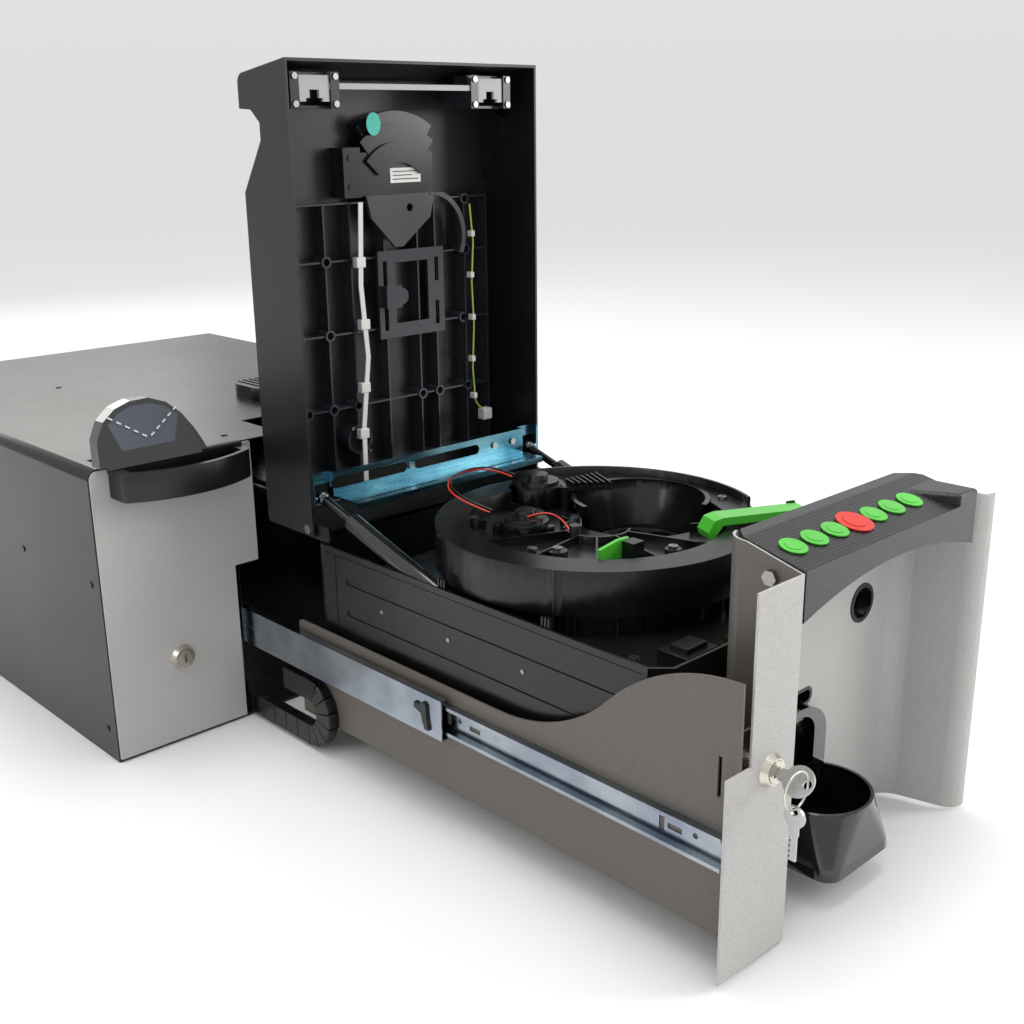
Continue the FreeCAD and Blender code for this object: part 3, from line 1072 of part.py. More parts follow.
    # the springs pass in front when the lid is shut, so the plate is stepped back at both ends
    near = (ends[0] + 22, ends[1] - 22)
    gaps = [box("bracket_gap_left", (ends[0] + 1.5, near[0]), (y_face - 1, y_face + 2), (240, 270)),
            box("bracket_gap_right", (near[1], ends[1] - 1.5), (y_face - 1, y_face + 2), (240, 270))]
    steps = [box("bracket_step_left", (near[0], near[0] + 1.5), (y_face, -91.5), (244, 268)),
             box("bracket_step_right", (near[1] - 1.5, near[1]), (y_face, -91.5), (244, 268)),
             box("bracket_tie_left", (ends[0] + 0.01, near[0] + 1.5), (-93, -91.5), (257, 268)),
             box("bracket_tie_right", (near[1] - 1.5, ends[1] - 0.01), (-93, -91.5), (257, 268))]
    sheets = cut("bracket_gapped", join("bracket_sheets", plate, shelf, lip, *cheeks), *gaps)
    bracket = cut("bracket_cut", join("bracket_joined", sheets, *steps, *studs), *slots, *slits)
    node("hinge_bracket", bracket)
    pins = []
    for word, inside, cap in (("left", x0 + w, x0 - 1), ("right", x1 - w - 4.6, x1)):
        pins.append(rod(f"hinge_pin_{word}", "X", (inside, -s.pivot_y, s.pivot_z), 3, 4.6))
        pins.append(rod(f"hinge_cap_{word}", "X", (cap, -s.pivot_y, s.pivot_z), 4.5, 1))
    return pins


def lid_fittings():
    w_floor = -s.lid_back - s.lid_wall
    # latch housings: two upright frames on brackets, which guide the sliding latch plates
    y_latch, lefts = -88.0, (180, 388)
    frames, plates = [], []
    for x, leg, bar_side in ((lefts[0], 202, 42), (lefts[1], 400, -1)):
        block = Part.makeBox(52, 26, 31, point(x, y_latch, 592))
        leg_box = Part.makeBox(26, 34.6, 14, point(leg, y_latch + 25.9, 598))
        slot = Part.makeBox(33, 10, 40, point(x + 9.5, y_latch - 1, 588))
        room = Part.makeBox(46, 20, 25, point(x + 3, y_latch + 3, 595))
        way = Part.makeBox(11, 6, 22, point(x + bar_side, y_latch + 0.6, 601))
        frames.append(block.cut(Part.makeCompound([slot, room, way])).fuse(leg_box).removeSplitter())
        plate = Part.makeBox(32, 3, 22, point(x + 10, y_latch + 1.6, 598))
        tee = Part.makeBox(10, 5, 12, point(x + 21, y_latch + 0.6, 596)).fuse(
            Part.makeBox(18, 5, 5, point(x + 17, y_latch + 0.6, 596)))
        plates.append(plate.cut(tee))
    node("latch_guides", made("latch_guides", Part.makeCompound(frames)))
    start, end = lefts[0] + 41.5, lefts[1] + 10.5
    bar = Part.makeBox(end - start, 3, 5, point(start, y_latch + 1.6, 608.5))
    node("latch_slider", made("latch_slider", bar.fuse(plates).removeSplitter()))

    # coin checker: stepped arched covers over a square module, a pointed guide plate below, a curved race
    # beside
    y0 = w_floor.value
    centre = (328, 509)

    def arched(outer, inner, half_angle, high, low):
        ring = Part.makeCylinder(outer, high - low, point(centre[0], y0 - low, centre[1]),
                                 Vector(0, -1, 0)).cut(
            Part.makeCylinder(inner, high - low, point(centre[0], y0 - low, centre[1]), Vector(0, -1, 0)))
        a = math.radians(half_angle)
        far = 2 * outer
        fan = prism([(centre[0], y0 - low + 5, centre[1]),
                     (centre[0] + far * math.sin(a), y0 - low + 5, centre[1] + far * math.cos(a)),
                     (centre[0], y0 - low + 5, centre[1] + 2 * far),
                     (centre[0] - far * math.sin(a), y0 - low + 5, centre[1] + far * math.cos(a))],
                    (0, -60, 0))
        return ring.common(fan)

    steps = [arched(82, 68, 34, 16, 0), arched(70, 50, 40, 19, 0), arched(54, 34, 48, 22, 0)]
    base = Part.makeBox(92, 18, 40, point(280, y0 - 18, 513))
    side = Part.makeBox(20, 21, 46, point(261, y0 - 21, 512))
    screws = [Part.makeCylinder(3.2, 1.2, point(269, y0 - 21, z), Vector(0, -1, 0)) for z in (522, 548)]
    checker = base.fuse(steps + [side] + screws).removeSplitter()
    node("coin_checker", made("coin_checker", checker))
    y = -s.rib_y.value - 1.6
    fin = prism([(287, y + 1, 513), (372, y + 1, 513), (366, y + 1, 490), (330, y + 1, 463),
                 (320, y + 1, 463),
                 (292, y + 1, 492)], (0, -4, 0))
    race = Part.makeCylinder(46, 4, point(366, y, 470), Vector(0, -1, 0)).cut(
        Part.makeCylinder(41, 4, point(366, y, 470), Vector(0, -1, 0)))
    race = race.common(Part.makeBox(80, 30, 61, point(366, y - 20, 452)))
    fin = fin.cut(Part.makeCylinder(4, 40, point(340, y + 2, 500), Vector(0, -1, 0)))
    node("coin_guide", made("coin_guide", fin.fuse(race).removeSplitter()))

    # flat frame with slots, and the small actuator on it
    outer = Part.makeBox(84, 3, 86, point(297, -s.rib_y.value - 5, 374))
    hole = Part.makeBox(42, 8, 60, point(318, -s.rib_y.value - 8, 388))
    notches = [Part.makeBox(5, 8, 24, point(x, -s.rib_y.value - 8, z)) for x in (303, 369)
               for z in (382, 426)]
    plate = outer.cut(hole).cut(Part.makeCompound(notches))
    actuator = Part.makeBox(19, 10, 22, point(299, -s.rib_y.value - 15, 405))
    lobe = Part.makeCylinder(8, 10, point(318, -s.rib_y.value - 5, 416), Vector(0, -1, 0))
    node("guide_frame", made("guide_frame", plate.fuse([actuator, lobe]).removeSplitter()))


def lid_wiring():
    """The flat white cable and the earth wire clipped along the lid, and the motors' free lead."""
    y = -s.rib_y.value - 8.5
    flat = [(276, y, 508), (272, y, 430), (277, y, 360), (268, y, 290), (266, y - 2, 236)]
    strip = None
    for a, b in zip(flat, flat[1:]):
        piece = prism([(a[0] - 2.6, a[1], a[2]), (a[0] + 2.6, a[1], a[2]), (b[0] + 2.6, b[1], b[2]),
                       (b[0] - 2.6, b[1], b[2])],
                      (0, -1.2, 0))
        strip = piece if strip is None else strip.fuse(piece)
    node("lid_ribbon_cable", made("lid_ribbon_cable", strip.removeSplitter()))
    wire = [(415, y, 500), (419, y, 462), (416, y, 420), (418, y, 375), (415, y, 330), (418, y, 292),
            (430, y, 282)]
    node("lid_earth_wire", made("lid_earth_wire", tube_along(wire, 0.9, 14)))
    lead = [(262, -242, 244), (250, -214, 252), (262, -180, 258), (292, -168, 262), (322, -180, 262),
            (334, -196, 254)]
    node("motor_lead", made("motor_lead", tube_along(lead, 1.1, 16)))


def fasteners(lid_pins):
    """Screws and nuts on the coin drawer, and the screws and pins of the lid."""
    deck_heads = []
    edge = s.recess_left.value - s.panel_t.value
    hexagon = Part.makePolygon([point(edge, -574 + 6 * math.cos(math.radians(60 * i)),
                                      279 + 6 * math.sin(math.radians(60 * i))) for i in range(7)])
    deck_heads.append(Part.Face(hexagon).extrude(Vector(-4, 0, 0)))
    for x, y, low in ((247, -342, 236), (229, -330, 237), (318, -408, 236), (436, -369, 246),
                      (200, -468, 190)):
        head = Part.makeCylinder(4.2, 2.6, point(x, y, low)).cut(Part.makeBox(8, 1, 2,
                                                                              point(x - 4, y - 0.5,
                                                                                    low + 1.6)))
        deck_heads.append(head)
    for y in (-200, -290, -380, -470):
        for x, way in ((s.mach_left.value, -1), (s.mach_right.value, 1)):
            deck_heads.append(Part.makeCylinder(2.0, 0.8, point(x, y, 162.5), Vector(way, 0, 0)))
    node("drawer_fasteners", made("drawer_fasteners", Part.makeCompound(deck_heads)))
    heads = []
    for x in (184.5, 227.5, 392.5, 435.5):
        for z in (596, 619):
            heads.append(Part.makeCylinder(2.8, 1.6, point(x, -88, z), Vector(0, -1, 0)))
    for x, z in ((286, 257), (398, 257), (424, 257)):
        heads.append(Part.makeCylinder(3.4, 2.0, point(x, -s.rim_y.value - 1.6, z), Vector(0, -1, 0)))
    for x in (258, 278):
        heads.append(Part.makeCylinder(1.6, 3.0, point(x, -45, 289.9 if x < 268 else 264.1),
                                       Vector(0, -1, 0)))
    screws = made("lid_screw_heads", Part.makeCompound(heads))
    node("lid_screws", group("lid_screws", screws, *lid_pins))


# ---------------------------------------------------------------------------------------------------------


def check_and_export():
    doc.recompute()
    faults = [f"{obj.Name}: {obj.State}" for obj in doc.Objects
              if any(word in str(obj.State) for word in ("Invalid", "Error"))]
    for name, obj in nodes.items():
        shape = obj.Shape
        if shape.isNull() or not shape.isValid() or not shape.Solids or shape.Volume <= 0:
            faults.append(f"{name}: bad shape")
    if faults:
        raise RuntimeError("; ".join(faults))
    os.makedirs("parts", exist_ok=True)
    for name, obj in sorted(nodes.items()):
        obj.Shape.exportStep(os.path.join("parts", name + ".step"))
        print(f"{name:22s} solids {len(obj.Shape.Solids):3d}  volume {obj.Shape.Volume / 1000:9.2f} cm3")
    print(len(nodes), "nodes")


cabinet()
slides()
energy_chain()
note_drawer()
coin_panel()
coin_cup()
coin_bezel()
coin_tray()
coin_lock_and_keys()
release_levers()
machine_case()
deck()
sorting_ring()
bowl_and_disc()
gear_motor("gear_motor_front", 276, -272, 229.2, 22, 22, 12, 35)
gear_motor("gear_motor_rear", 349, -219, 229.2, 23, 16, 20, 200)
deck_levers()
gas_springs()
pins = lid()
lid_fittings()
lid_wiring()
fasteners(pins)
check_and_export()
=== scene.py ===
"""Looks and small visual pieces of the coin sorting machine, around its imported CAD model.

Places are in millimetres from the cabinet's front, left, bottom corner: X right, Y back, Z up.
"""

import json
import math

import bpy
from mathutils import Euler, Matrix, Vector


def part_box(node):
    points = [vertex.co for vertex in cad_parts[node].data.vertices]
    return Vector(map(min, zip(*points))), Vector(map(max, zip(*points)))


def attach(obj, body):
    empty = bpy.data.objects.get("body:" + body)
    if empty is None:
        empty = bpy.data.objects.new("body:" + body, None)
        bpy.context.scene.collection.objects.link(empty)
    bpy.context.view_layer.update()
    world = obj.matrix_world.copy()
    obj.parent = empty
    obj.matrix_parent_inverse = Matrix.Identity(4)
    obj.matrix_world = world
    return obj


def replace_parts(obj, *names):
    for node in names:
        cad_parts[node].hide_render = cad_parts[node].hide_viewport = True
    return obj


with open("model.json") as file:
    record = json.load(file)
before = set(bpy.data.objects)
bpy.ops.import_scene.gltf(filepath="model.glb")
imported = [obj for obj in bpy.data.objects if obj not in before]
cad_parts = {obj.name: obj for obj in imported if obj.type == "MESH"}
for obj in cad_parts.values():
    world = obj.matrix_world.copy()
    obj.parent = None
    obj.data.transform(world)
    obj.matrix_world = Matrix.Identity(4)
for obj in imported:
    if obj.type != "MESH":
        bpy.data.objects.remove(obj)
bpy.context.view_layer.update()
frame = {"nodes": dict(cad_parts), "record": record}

MM = 0.001
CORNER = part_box("cabinet_shell")[0]
NODES = frame["nodes"]
SLOT_OF = {part["node"]: part["material_slot"] for part in frame["record"]["subparts"]}


def at(x, y, z):
    """A point in the frame from corner coordinates in millimetres."""
    return Vector((CORNER.x + x * MM, CORNER.y + y * MM, z * MM))


# ---------------------------------------------------------------------------------------------------------
# Materials


class Graph:
    """Short words for the shader nodes that the materials use."""

    def __init__(self, name):
        self.material = bpy.data.materials.new(name)
        self.material.use_nodes = True
        self.tree = self.material.node_tree
        self.shader = self.tree.nodes["Principled BSDF"]
        self.place = self.add("ShaderNodeTexCoord")

    def add(self, kind, **settings):
        node = self.tree.nodes.new(kind)
        for key, value in settings.items():
            setattr(node, key, value)
        return node

    def link(self, source, target):
        self.tree.links.new(source, target)

    def feed(self, target, value):
        if isinstance(value, bpy.types.NodeSocket):
            self.link(value, target)
        else:
            target.default_value = value

    def feed_colour(self, target, value):
        self.feed(target, value if isinstance(value, bpy.types.NodeSocket) else (*value, 1))

    def noise(self, scale, detail=2.0, stretch=(1, 1, 1), rough=0.5):
        move = self.add("ShaderNodeMapping")
        move.inputs["Scale"].default_value = stretch
        self.link(self.place.outputs["Object"], move.inputs["Vector"])
        node = self.add("ShaderNodeTexNoise")
        self.link(move.outputs["Vector"], node.inputs["Vector"])
        node.inputs["Scale"].default_value = scale
        node.inputs["Detail"].default_value = detail
        node.inputs["Roughness"].default_value = rough
        return node.outputs["Fac"]

    def ramp(self, value, low, high, start, end):
        """Maps a 0–1 value between two levels onto start–end."""
        node = self.add("ShaderNodeMapRange")
        self.link(value, node.inputs["Value"])
        for name, number in (("From Min", low), ("From Max", high), ("To Min", start), ("To Max", end)):
            node.inputs[name].default_value = number
        return node.outputs["Result"]

    def mix(self, factor, first, second):
        node = self.add("ShaderNodeMix", data_type="RGBA")
        self.feed(node.inputs["Factor"], factor)
        self.feed_colour(node.inputs[6], first)
        self.feed_colour(node.inputs[7], second)
        return node.outputs[2]

    def math(self, kind, a, b):
        node = self.add("ShaderNodeMath", operation=kind)
        self.feed(node.inputs[0], a)
        self.feed(node.inputs[1], b)
        return node.outputs[0]

    def colour(self, value):
        self.feed_colour(self.shader.inputs["Base Color"], value)

    def set(self, **values):
        for name, value in values.items():
            self.feed(self.shader.inputs[name.replace("_", " ")], value)

    def bump(self, height, strength, distance=0.0003):
        node = self.add("ShaderNodeBump")
        node.inputs["Strength"].default_value = strength
        node.inputs["Distance"].default_value = distance
        self.link(height, node.inputs["Height"])
        self.link(node.outputs["Normal"], self.shader.inputs["Normal"])


def powder_coat(name, dark, light, rough, grain=900, strength=0.16):
    """Textured powder coat: a fine orange peel with a faint colour speckle."""
    g = Graph(name)
    fine = g.noise(grain, 3)
    cloud = g.noise(6, 3)
    g.colour(g.mix(g.ramp(fine, 0.35, 0.65, 0, 1), dark, light))
    g.set(Roughness=g.ramp(cloud, 0.3, 0.7, rough - 0.04, rough + 0.05))
    g.bump(fine, strength)
    return g


def two_sided_panel(name, dark, light, back):
    """The coin panel: light paint in front, the tray's bronze paint on its back."""
    g = powder_coat(name, dark, light, 0.42, 1500, 0.1)
    front_colour = g.shader.inputs["Base Color"].links[0].from_socket
    facing = g.add("ShaderNodeSeparateXYZ")
    g.link(g.place.outputs["Normal"], facing.inputs[0])
    spot = g.add("ShaderNodeSeparateXYZ")
    g.link(g.place.outputs["Object"], spot.inputs[0])
    past_recess = g.math("GREATER_THAN", spot.outputs["X"], RECESS_X)
    near_recess = g.math("LESS_THAN", spot.outputs["X"], RECESS_X + RECESS_BAND)
    right_side = g.math("GREATER_THAN", facing.outputs["X"], 0.7)
    left_side = g.math("MULTIPLY", g.math("LESS_THAN", facing.outputs["X"], -0.7), past_recess)
    left_side = g.math("MULTIPLY", left_side, near_recess)
    rear = g.math("GREATER_THAN", facing.outputs["Y"], 0.2)
    behind = g.math("MAXIMUM", rear, g.math("MAXIMUM", left_side, right_side))
    g.colour(g.mix(behind, front_colour, back))
    return g


def plated(name, base, tint, rough, length_axis=1):
    """Zinc plate: bright steel with a faint bloom and drawing marks along one axis."""
    g = Graph(name)
    stretch = [60, 60, 60]
    stretch[length_axis] = 1.5
    marks = g.noise(12, 4, stretch)
    bloom = g.noise(22, 4)
    g.colour(g.mix(g.ramp(bloom, 0.35, 0.65, 0, 1), base, tint))
    g.set(Metallic=1.0, Roughness=g.ramp(marks, 0.3, 0.7, rough - 0.06, rough + 0.08))
    g.bump(marks, 0.05, 0.0002)
    return g


def polished(name, colour, rough):
    g = Graph(name)
    g.colour(colour)
    g.set(Metallic=1.0, Roughness=g.ramp(g.noise(70, 3), 0.3, 0.7, rough, rough + 0.09))
    return g


def moulding(name, colour, rough, grain=420, strength=0.06, coat=0.0):
    """Moulded plastic with a spark-eroded grain and a few rubbed places."""
    g = Graph(name)
    worn = g.noise(9, 4)
    pale = [c * 1.5 + 0.002 for c in colour]
    g.colour(g.mix(g.ramp(worn, 0.48, 0.78, 0, 0.6), colour, pale))
    g.set(Roughness=g.ramp(worn, 0.3, 0.7, rough - 0.05, rough + 0.07))
    g.shader.inputs["Coat Weight"].default_value = coat
    g.shader.inputs["Coat Roughness"].default_value = 0.06
    if strength:
        g.bump(g.noise(grain, 2), strength)
    return g


def layered(name, colour, rough):
    """A printed part: fine stair lines one above another, with speckled gloss."""
    g = Graph(name)
    wave = g.add("ShaderNodeTexWave", wave_type="BANDS", bands_direction="Z")
    wave.inputs["Scale"].default_value = 420
    wave.inputs["Distortion"].default_value = 1.2
    g.link(g.place.outputs["Object"], wave.inputs["Vector"])
    g.colour(g.mix(g.ramp(g.noise(500, 3), 0.45, 0.75, 0, 1), colour, (0.03, 0.03, 0.033)))
    g.set(Roughness=rough)
    g.bump(wave.outputs["Fac"], 0.35, 0.0004)
    return g


def smoked(name, colour):
    g = Graph(name)
    g.colour(colour)
    g.set(Roughness=0.08)
    g.shader.inputs["Transmission Weight"].default_value = 0.45
    g.shader.inputs["IOR"].default_value = 1.45
    g.shader.inputs["Coat Weight"].default_value = 0.6
    return g


def plain(name, colour, rough):
    g = Graph(name)
    g.colour(colour)
    g.set(Roughness=g.ramp(g.noise(60, 2), 0.3, 0.7, rough - 0.04, rough + 0.06))
    return g


RECESS_X = at(217, 0, 0).x
RECESS_BAND = 12 * MM
GREY_PAINT = ((0.37, 0.36, 0.35), (0.52, 0.51, 0.5))
BRONZE_PAINT = ((0.085, 0.074, 0.062), (0.135, 0.12, 0.103))
BRONZE_MEAN = (0.11, 0.097, 0.083)
KEY_STEEL = (0.5, 0.5, 0.5)
SLOT_LOOKS = {
    "black_powder_coat": powder_coat("black_powder_coat", (0.003, 0.003, 0.003), (0.011, 0.0105, 0.0095),
                                     0.3),
    "grey_powder_coat": powder_coat("grey_powder_coat", *GREY_PAINT, 0.42, 1500, 0.1),
    "bronze_powder_coat": powder_coat("bronze_powder_coat", *BRONZE_PAINT, 0.46, 1500, 0.1),
    "zinc_plate": plated("zinc_plate", (0.27, 0.31, 0.37), (0.42, 0.46, 0.5), 0.2),
    "blue_zinc": plated("blue_zinc", (0.05, 0.16, 0.22), (0.16, 0.32, 0.38), 0.24, 0),
    "screw_steel": polished("screw_steel", (0.34, 0.33, 0.32), 0.25),
    "satin_nickel": polished("satin_nickel", (0.66, 0.62, 0.55), 0.2),
    "black_moulding": moulding("black_moulding", (0.0045, 0.0045, 0.005), 0.27),
    # grey_moulding: dark grey plastic whose base colour is lifted and tinted blue-grey as a painted sheen
    "grey_moulding": moulding("grey_moulding", (0.019, 0.022, 0.028), 0.22),
    "printed_black": layered("printed_black", (0.006, 0.006, 0.007), 0.27),
    "gloss_black": moulding("gloss_black", (0.003, 0.003, 0.0035), 0.13, strength=0, coat=0.8),
    "smoked_window": smoked("smoked_window", (0.1, 0.12, 0.16)),
    "module_grey": moulding("module_grey", (0.03, 0.03, 0.033), 0.5),
    "green_plastic": moulding("green_plastic", (0.07, 0.46, 0.035), 0.3, strength=0.03, coat=0.2),
    "white_plastic": plain("white_plastic", (0.66, 0.66, 0.64), 0.42),
    "spring_black": moulding("spring_black", (0.008, 0.008, 0.009), 0.16, strength=0, coat=0.6),
    "spring_rod_steel": polished("spring_rod_steel", (0.09, 0.09, 0.095), 0.16),
    "green_wire": plain("green_wire", (0.36, 0.5, 0.08), 0.4),
    "red_wire": plain("red_wire", (0.62, 0.03, 0.015), 0.35),
}
EXTRA_LOOKS = {
    "coin_front_panel": two_sided_panel("panel_paint", *GREY_PAINT, BRONZE_MEAN),
    "lid_shell": moulding("lid_skin", (0.006, 0.0066, 0.008), 0.36, 380, 0.1),
    "lock_key": polished("key_steel", KEY_STEEL, 0.26),
    "spare_key": polished("spare_key_steel", KEY_STEEL, 0.26),
    "latch_slider": plain("latch_grey", (0.42, 0.42, 0.43), 0.4),
    "note_handle": moulding("handle_black", (0.005, 0.005, 0.0055), 0.36, 700, 0.22),
    "coin_checker": moulding("checker_black", (0.009, 0.0095, 0.012), 0.18),
    "coin_guide": moulding("guide_grey", (0.035, 0.037, 0.042), 0.24),
    "cabinet_screws": polished("dark_screw", (0.05, 0.05, 0.05), 0.3),
    "sorting_bowl": moulding("bowl_black", (0.004, 0.004, 0.0045), 0.14),
}
RED_PAINT = plain("red_paint", (0.6, 0.03, 0.015), 0.35)
BLACK_WIRE = plain("black_wire", (0.01, 0.01, 0.01), 0.35)
TEAL = plain("teal_sticker", (0.04, 0.5, 0.4), 0.4)
PAPER = plain("label_paper", (0.72, 0.72, 0.7), 0.5)
DASHES = plain("dash_white", (0.62, 0.65, 0.7), 0.4)


def dress(obj, look):
    obj.data.materials.clear()
    obj.data.materials.append(look.material)
    return obj


# widths of the rounded edges in millimetres
EDGE_WIDTH = {
    "cabinet_shell": 0.5, "note_front_panel": 0.45, "coin_front_panel": 0.45, "coin_tray": 0.4,
    "lid_shell": 0.9, "machine_case": 0.9, "sorting_ring": 0.45, "sorting_bowl": 0.4, "note_handle": 0.6,
    "note_bezel": 0.5, "coin_inlet_bezel": 0.9, "coin_cup": 0.7, "coin_chute": 0.5, "coin_checker": 0.6,
    "roof_grip": 0.8, "machine_deck": 0.6, "gear_motor_front": 0.7, "gear_motor_rear": 0.7,
    "energy_chain": 1.2, "lock_key": 0.35, "green_lever_left": 0.5, "green_lever_right": 0.6,
    "latch_guides": 0.5, "hinge_bracket": 0.3,
}
WELD_REACH = 0.01 * MM


def soften(obj, width):
    """Joins the facets' split corners and rounds the sharp edges a little."""
    weld = obj.modifiers.new("weld", "WELD")
    weld.merge_threshold = WELD_REACH
    edge = obj.modifiers.new("edge", "BEVEL")
    edge.width = width * MM
    edge.segments = 2
    edge.limit_method = "ANGLE"
    edge.angle_limit = math.radians(32)
    edge.harden_normals = True
    edge.use_clamp_overlap = True


for node_name, node_object in NODES.items():
    dress(node_object, EXTRA_LOOKS.get(node_name) or SLOT_LOOKS[SLOT_OF[node_name]])
    if node_name in EDGE_WIDTH:
        soften(node_object, EDGE_WIDTH[node_name])


# ---------------------------------------------------------------------------------------------------------
# Small visual pieces


def piece(name, mesh_or_curve, look, body):
    obj = bpy.data.objects.new(name, mesh_or_curve)
    bpy.context.scene.collection.objects.link(obj)
    obj.data.materials.append(look.material)
    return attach(obj, body)


def block(name, x, y, z, look, slot, body, round_by=0.3, turn=None):
    """A box between corner coordinates, with rounded edges, turned about its middle if asked."""
    low, high = at(x[0], y[0], z[0]), at(x[1], y[1], z[1])
    middle, half = (low + high) / 2, (high - low) / 2
    corners = [Vector((a, b, c)) for a in (-1, 1) for b in (-1, 1) for c in (-1, 1)]
    points = [Vector((half.x * c.x, half.y * c.y, half.z * c.z)) for c in corners]
    if turn:
        points = [turn @ p for p in points]
    faces = [(0, 1, 3, 2), (4, 6, 7, 5), (0, 4, 5, 1), (2, 3, 7, 6), (0, 2, 6, 4), (1, 5, 7, 3)]
    mesh = bpy.data.meshes.new(name)
    mesh.from_pydata([middle + p for p in points], [], faces)
    obj = piece(name, mesh, look, body)
    edge = obj.modifiers.new("edge", "BEVEL")
    edge.width = round_by * MM
    edge.segments = 2
    return obj


def disc(name, centre, normal, radius, high, look, body, squash=1.0):
    """A flat cylinder that stands on centre along normal; squash stretches it across."""
    normal = Vector(normal).normalized()
    turn = normal.to_track_quat("Z", "Y").to_matrix()
    middle = at(*centre)
    sides = 40
    points = []
    for level in (0, high):
        for i in range(sides):
            a = 2 * math.pi * i / sides
            spoke = Vector((radius * math.cos(a), radius * squash * math.sin(a), level))
            points.append(middle + turn @ spoke * MM)
    faces = [tuple(range(sides - 1, -1, -1)), tuple(range(sides, 2 * sides))]
    faces += [(i, (i + 1) % sides, sides + (i + 1) % sides, sides + i) for i in range(sides)]
    mesh = bpy.data.meshes.new(name)
    mesh.from_pydata(points, [], faces)
    obj = piece(name, mesh, look, body)
    edge = obj.modifiers.new("edge", "BEVEL")
    edge.width = 0.25 * MM
    edge.segments = 2
    edge.limit_method = "ANGLE"
    return obj


def wire(name, points, radius, look, body):
    """A thin lead along a smooth line through given points."""
    curve = bpy.data.curves.new(name, "CURVE")
    curve.dimensions = "3D"
    curve.bevel_depth = radius * MM
    curve.bevel_resolution = 4
    curve.use_fill_caps = True
    spline = curve.splines.new("NURBS")
    spline.points.add(len(points) - 1)
    for knot, p in zip(spline.points, points):
        knot.co = (*at(*p), 1)
    spline.order_u = 3
    spline.use_endpoint_u = True
    spline.resolution_u = 12
    return piece(name, curve, look, body)


def inlet_emblem():
    """A row of raised coins on the hood's slope, the middle one larger, in place of lettering."""
    run, rise = 53, 13
    slope = Vector((0, -rise, run)).normalized()
    hood_front, hood_edge, lift = -600, 288.5, 0.4
    first, pitch, y = 243, 26, -574
    z = hood_edge + (y - hood_front) * rise / run + lift
    for i in range(7):
        middle = i == 3
        x = first + pitch * i
        look = RED_PAINT if middle else SLOT_LOOKS["green_plastic"]
        radius = 14.5 if middle else 10.5
        disc(f"emblem_coin_{i}", (x, y, z), slope, radius, 1.1, look, "coin_drawer")
        disc(f"emblem_coin_face_{i}", (x, y, z + 1.0), slope, radius * 0.62, 0.7, look,
             "coin_drawer")


def window_dashes():
    """Two rows of dashes that meet in a V on the banknote bezel's window."""
    lean, foot_y, foot_z, proud = 0.4, -14, 289, 1.35
    middle, tip_z, spread, climb = 60, 312, 7, 4.6
    lay_back = Matrix.Rotation(math.atan(lean), 3, "X").inverted()
    for side in (-1, 1):
        turn = lay_back @ Matrix.Rotation(-side * 0.58, 3, "Y")
        for i in range(5):
            x = middle + side * (4 + spread * i)
            z = tip_z + climb * i
            y = foot_y + (z - foot_z) * lean - proud
            block(f"window_dash_{'lr'[side > 0]}{i}", (x - 2.3, x + 2.3), (y - 0.25, y + 0.25),
                  (z - 0.7, z + 0.7), DASHES, "smoked_window", "note_drawer", 0.1, turn)


def motor_leads():
    """Red and black leads between the two gear motors, and short ones at the front motor."""
    red = [(262, -242, 244), (250, -214, 252), (262, -180, 258), (292, -168, 262), (322, -180, 262),
           (334, -196, 254)]
    black = [(x + 2.4, y - 1.2, z + 1.8) for x, y, z in red]
    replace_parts(wire("motor_lead_red", red, 0.85, RED_PAINT, "coin_drawer"), "motor_lead")
    wire("motor_lead_black", black, 0.85, BLACK_WIRE, "coin_drawer")
    short = [(276, -276, 244), (284, -284, 248), (292, -294, 247), (296, -304, 240), (292, -314, 234)]
    wire("front_lead_red", short, 0.8, RED_PAINT, "coin_drawer")
    beside = [(x + 2.4, y + 1, z - 1.2) for x, y, z in short]
    wire("front_lead_black", beside, 0.8, BLACK_WIRE, "coin_drawer")


def lid_trim():
    """The coin checker's sticker and label, the cables' clips and the earth wire's connector."""
    white = (SLOT_LOOKS["white_plastic"], "white_plastic", "lid")
    paper = (PAPER, "white_plastic", "lid")
    clip_back = -46.6
    disc("checker_sticker", (297, -50.0, 579), (0, -1, 0), 8.5, 0.5, TEAL, "lid",
         squash=1.25)
    block("checker_label", (318, 356), (-46.3, -45.4), (524, 538), *paper, 0.1)
    for i in range(3):
        z = 527 + 3.6 * i
        block(f"label_line_{i}", (321, 353 - 8 * (i % 2)), (-46.5, -46.2), (z, z + 0.9), BLACK_WIRE,
              "black_moulding", "lid", 0.05)
    for i, (x, z) in enumerate([(273, 452), (275, 392), (272, 330), (268, 284)]):
        block(f"cable_clip_{i}", (x - 5.5, x + 5.5), (-53.6, clip_back), (z - 5, z + 5), *white, 0.8)
    for i, (x, z) in enumerate([(418, 470), (416, 428), (417, 384), (415.5, 340), (417, 300)]):
        block(f"wire_clip_{i}", (x - 2.4, x + 2.4), (-53.4, clip_back), (z - 3, z + 3), *white, 0.5)
    block("earth_connector", (426, 438), (-56, -46), (272, 284), *white, 0.8)


inlet_emblem()
window_dashes()
motor_leads()
lid_trim()


# ---------------------------------------------------------------------------------------------------------
# Camera, floor and light


def camera():
    """Looks from left of the drawn-out drawer and above it, across to the raised lid."""
    lens = bpy.data.cameras.new("view")
    lens.lens = 43.91
    lens.sensor_width = 36
    eye = bpy.data.objects.new("view", lens)
    tilt, roll, heading = 72.798, 0.661, -43.657
    turn = Euler([math.radians(angle) for angle in (tilt, roll, heading)]).to_matrix().to_4x4()
    eye.matrix_world = Matrix.Translation((-0.7072, -1.3395, 0.5762)) @ turn
    bpy.context.scene.collection.objects.link(eye)
    bpy.context.scene.camera = eye


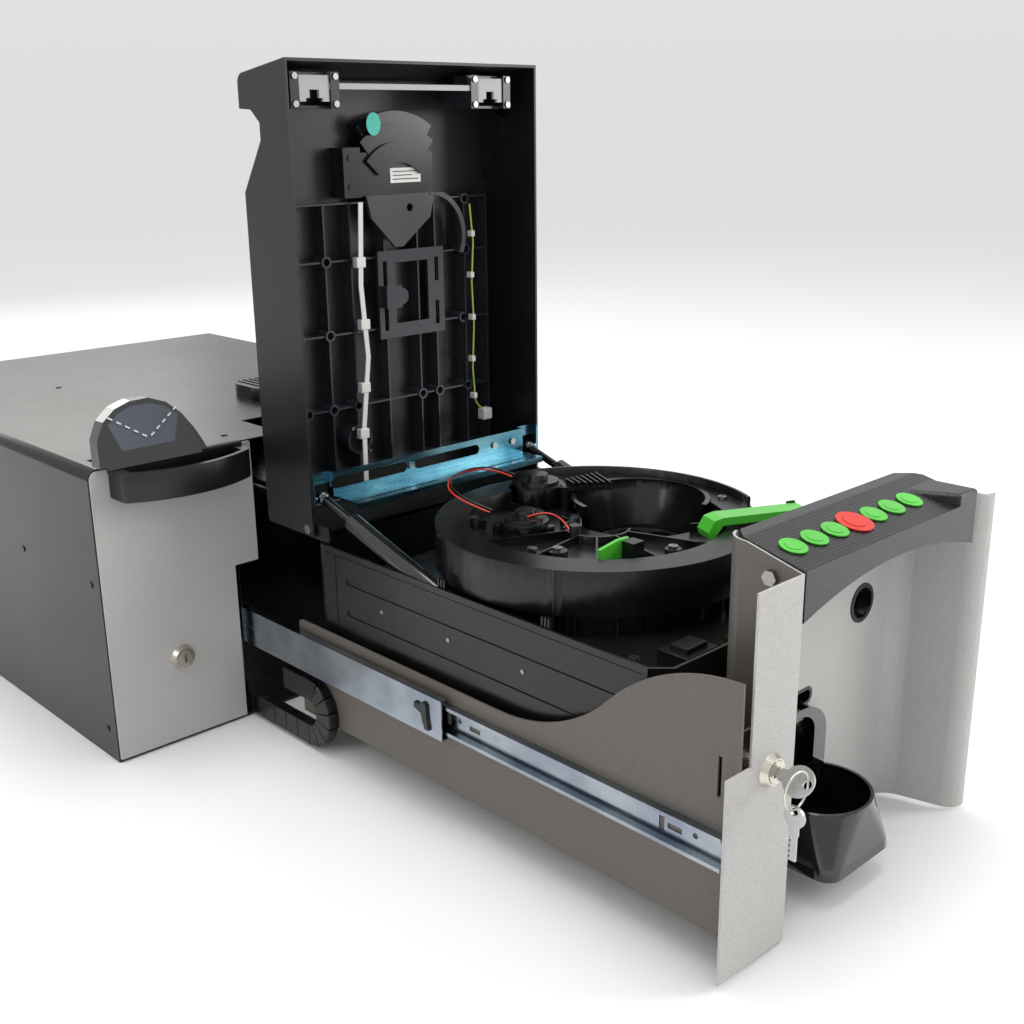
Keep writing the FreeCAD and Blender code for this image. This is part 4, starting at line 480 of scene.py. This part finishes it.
def floor():
    """A pale square, wide enough to reach the horizon, just under the cabinet's base."""
    mesh = bpy.data.meshes.new("floor")
    reach = 60
    corners = [(-reach, -reach, 0), (reach, -reach, 0), (reach, reach, 0), (-reach, reach, 0)]
    mesh.from_pydata(corners, [], [(0, 1, 2, 3)])
    ground = bpy.data.objects.new("floor", mesh)
    ground.location.z = -0.4 * MM
    look = Graph("floor_pale")
    look.colour((0.86, 0.86, 0.86))
    look.set(Roughness=0.75)
    mesh.materials.append(look.material)
    bpy.context.scene.collection.objects.link(ground)


def area(name, place, aim, size, power, colour=(1, 1, 1)):
    """A rectangular lamp at a place, turned to the point that it aims at."""
    lamp = bpy.data.lights.new(name, "AREA")
    lamp.shape = "RECTANGLE"
    lamp.size, lamp.size_y = size
    lamp.energy = power
    lamp.color = colour
    obj = bpy.data.objects.new(name, lamp)
    obj.location = place
    obj.rotation_mode = "QUATERNION"
    obj.rotation_quaternion = (Vector(aim) - Vector(place)).to_track_quat("-Z", "Y")
    bpy.context.scene.collection.objects.link(obj)


def lights():
    """Soft white surroundings that pale with height, and four lamps around the machine."""
    world = bpy.data.worlds.new("studio")
    bpy.context.scene.world = world
    world.use_nodes = True
    tree = world.node_tree
    place = tree.nodes.new("ShaderNodeTexCoord")
    height = tree.nodes.new("ShaderNodeSeparateXYZ")
    tree.links.new(place.outputs["Generated"], height.inputs[0])
    fade = tree.nodes.new("ShaderNodeMapRange")
    fade.inputs["From Max"].default_value = 0.5
    fade.inputs["To Min"].default_value = 0.86
    fade.inputs["To Max"].default_value = 1.0
    tree.links.new(height.outputs["Z"], fade.inputs["Value"])
    tree.links.new(fade.outputs["Result"], tree.nodes["Background"].inputs["Color"])
    tree.nodes["Background"].inputs["Strength"].default_value = 0.85
    middle = (0.0, -0.3, 0.3)
    area("overhead", (0.1, -0.5, 2.6), middle, (1.5, 1.5), 34)
    area("right_window", (2.2, -2.4, 1.3), middle, (0.9, 1.6), 34, (1, 0.98, 0.95))
    area("left_strip", (-2.4, -0.4, 1.6), middle, (0.5, 1.6), 9, (0.95, 0.98, 1))
    area("back_glow", (0.3, 2.6, 1.6), middle, (2.4, 1.0), 22, (1, 0.97, 0.92))
    bpy.context.scene.view_settings.view_transform = "Standard"
    bpy.context.scene.view_settings.look = "None"


camera()
floor()
lights()
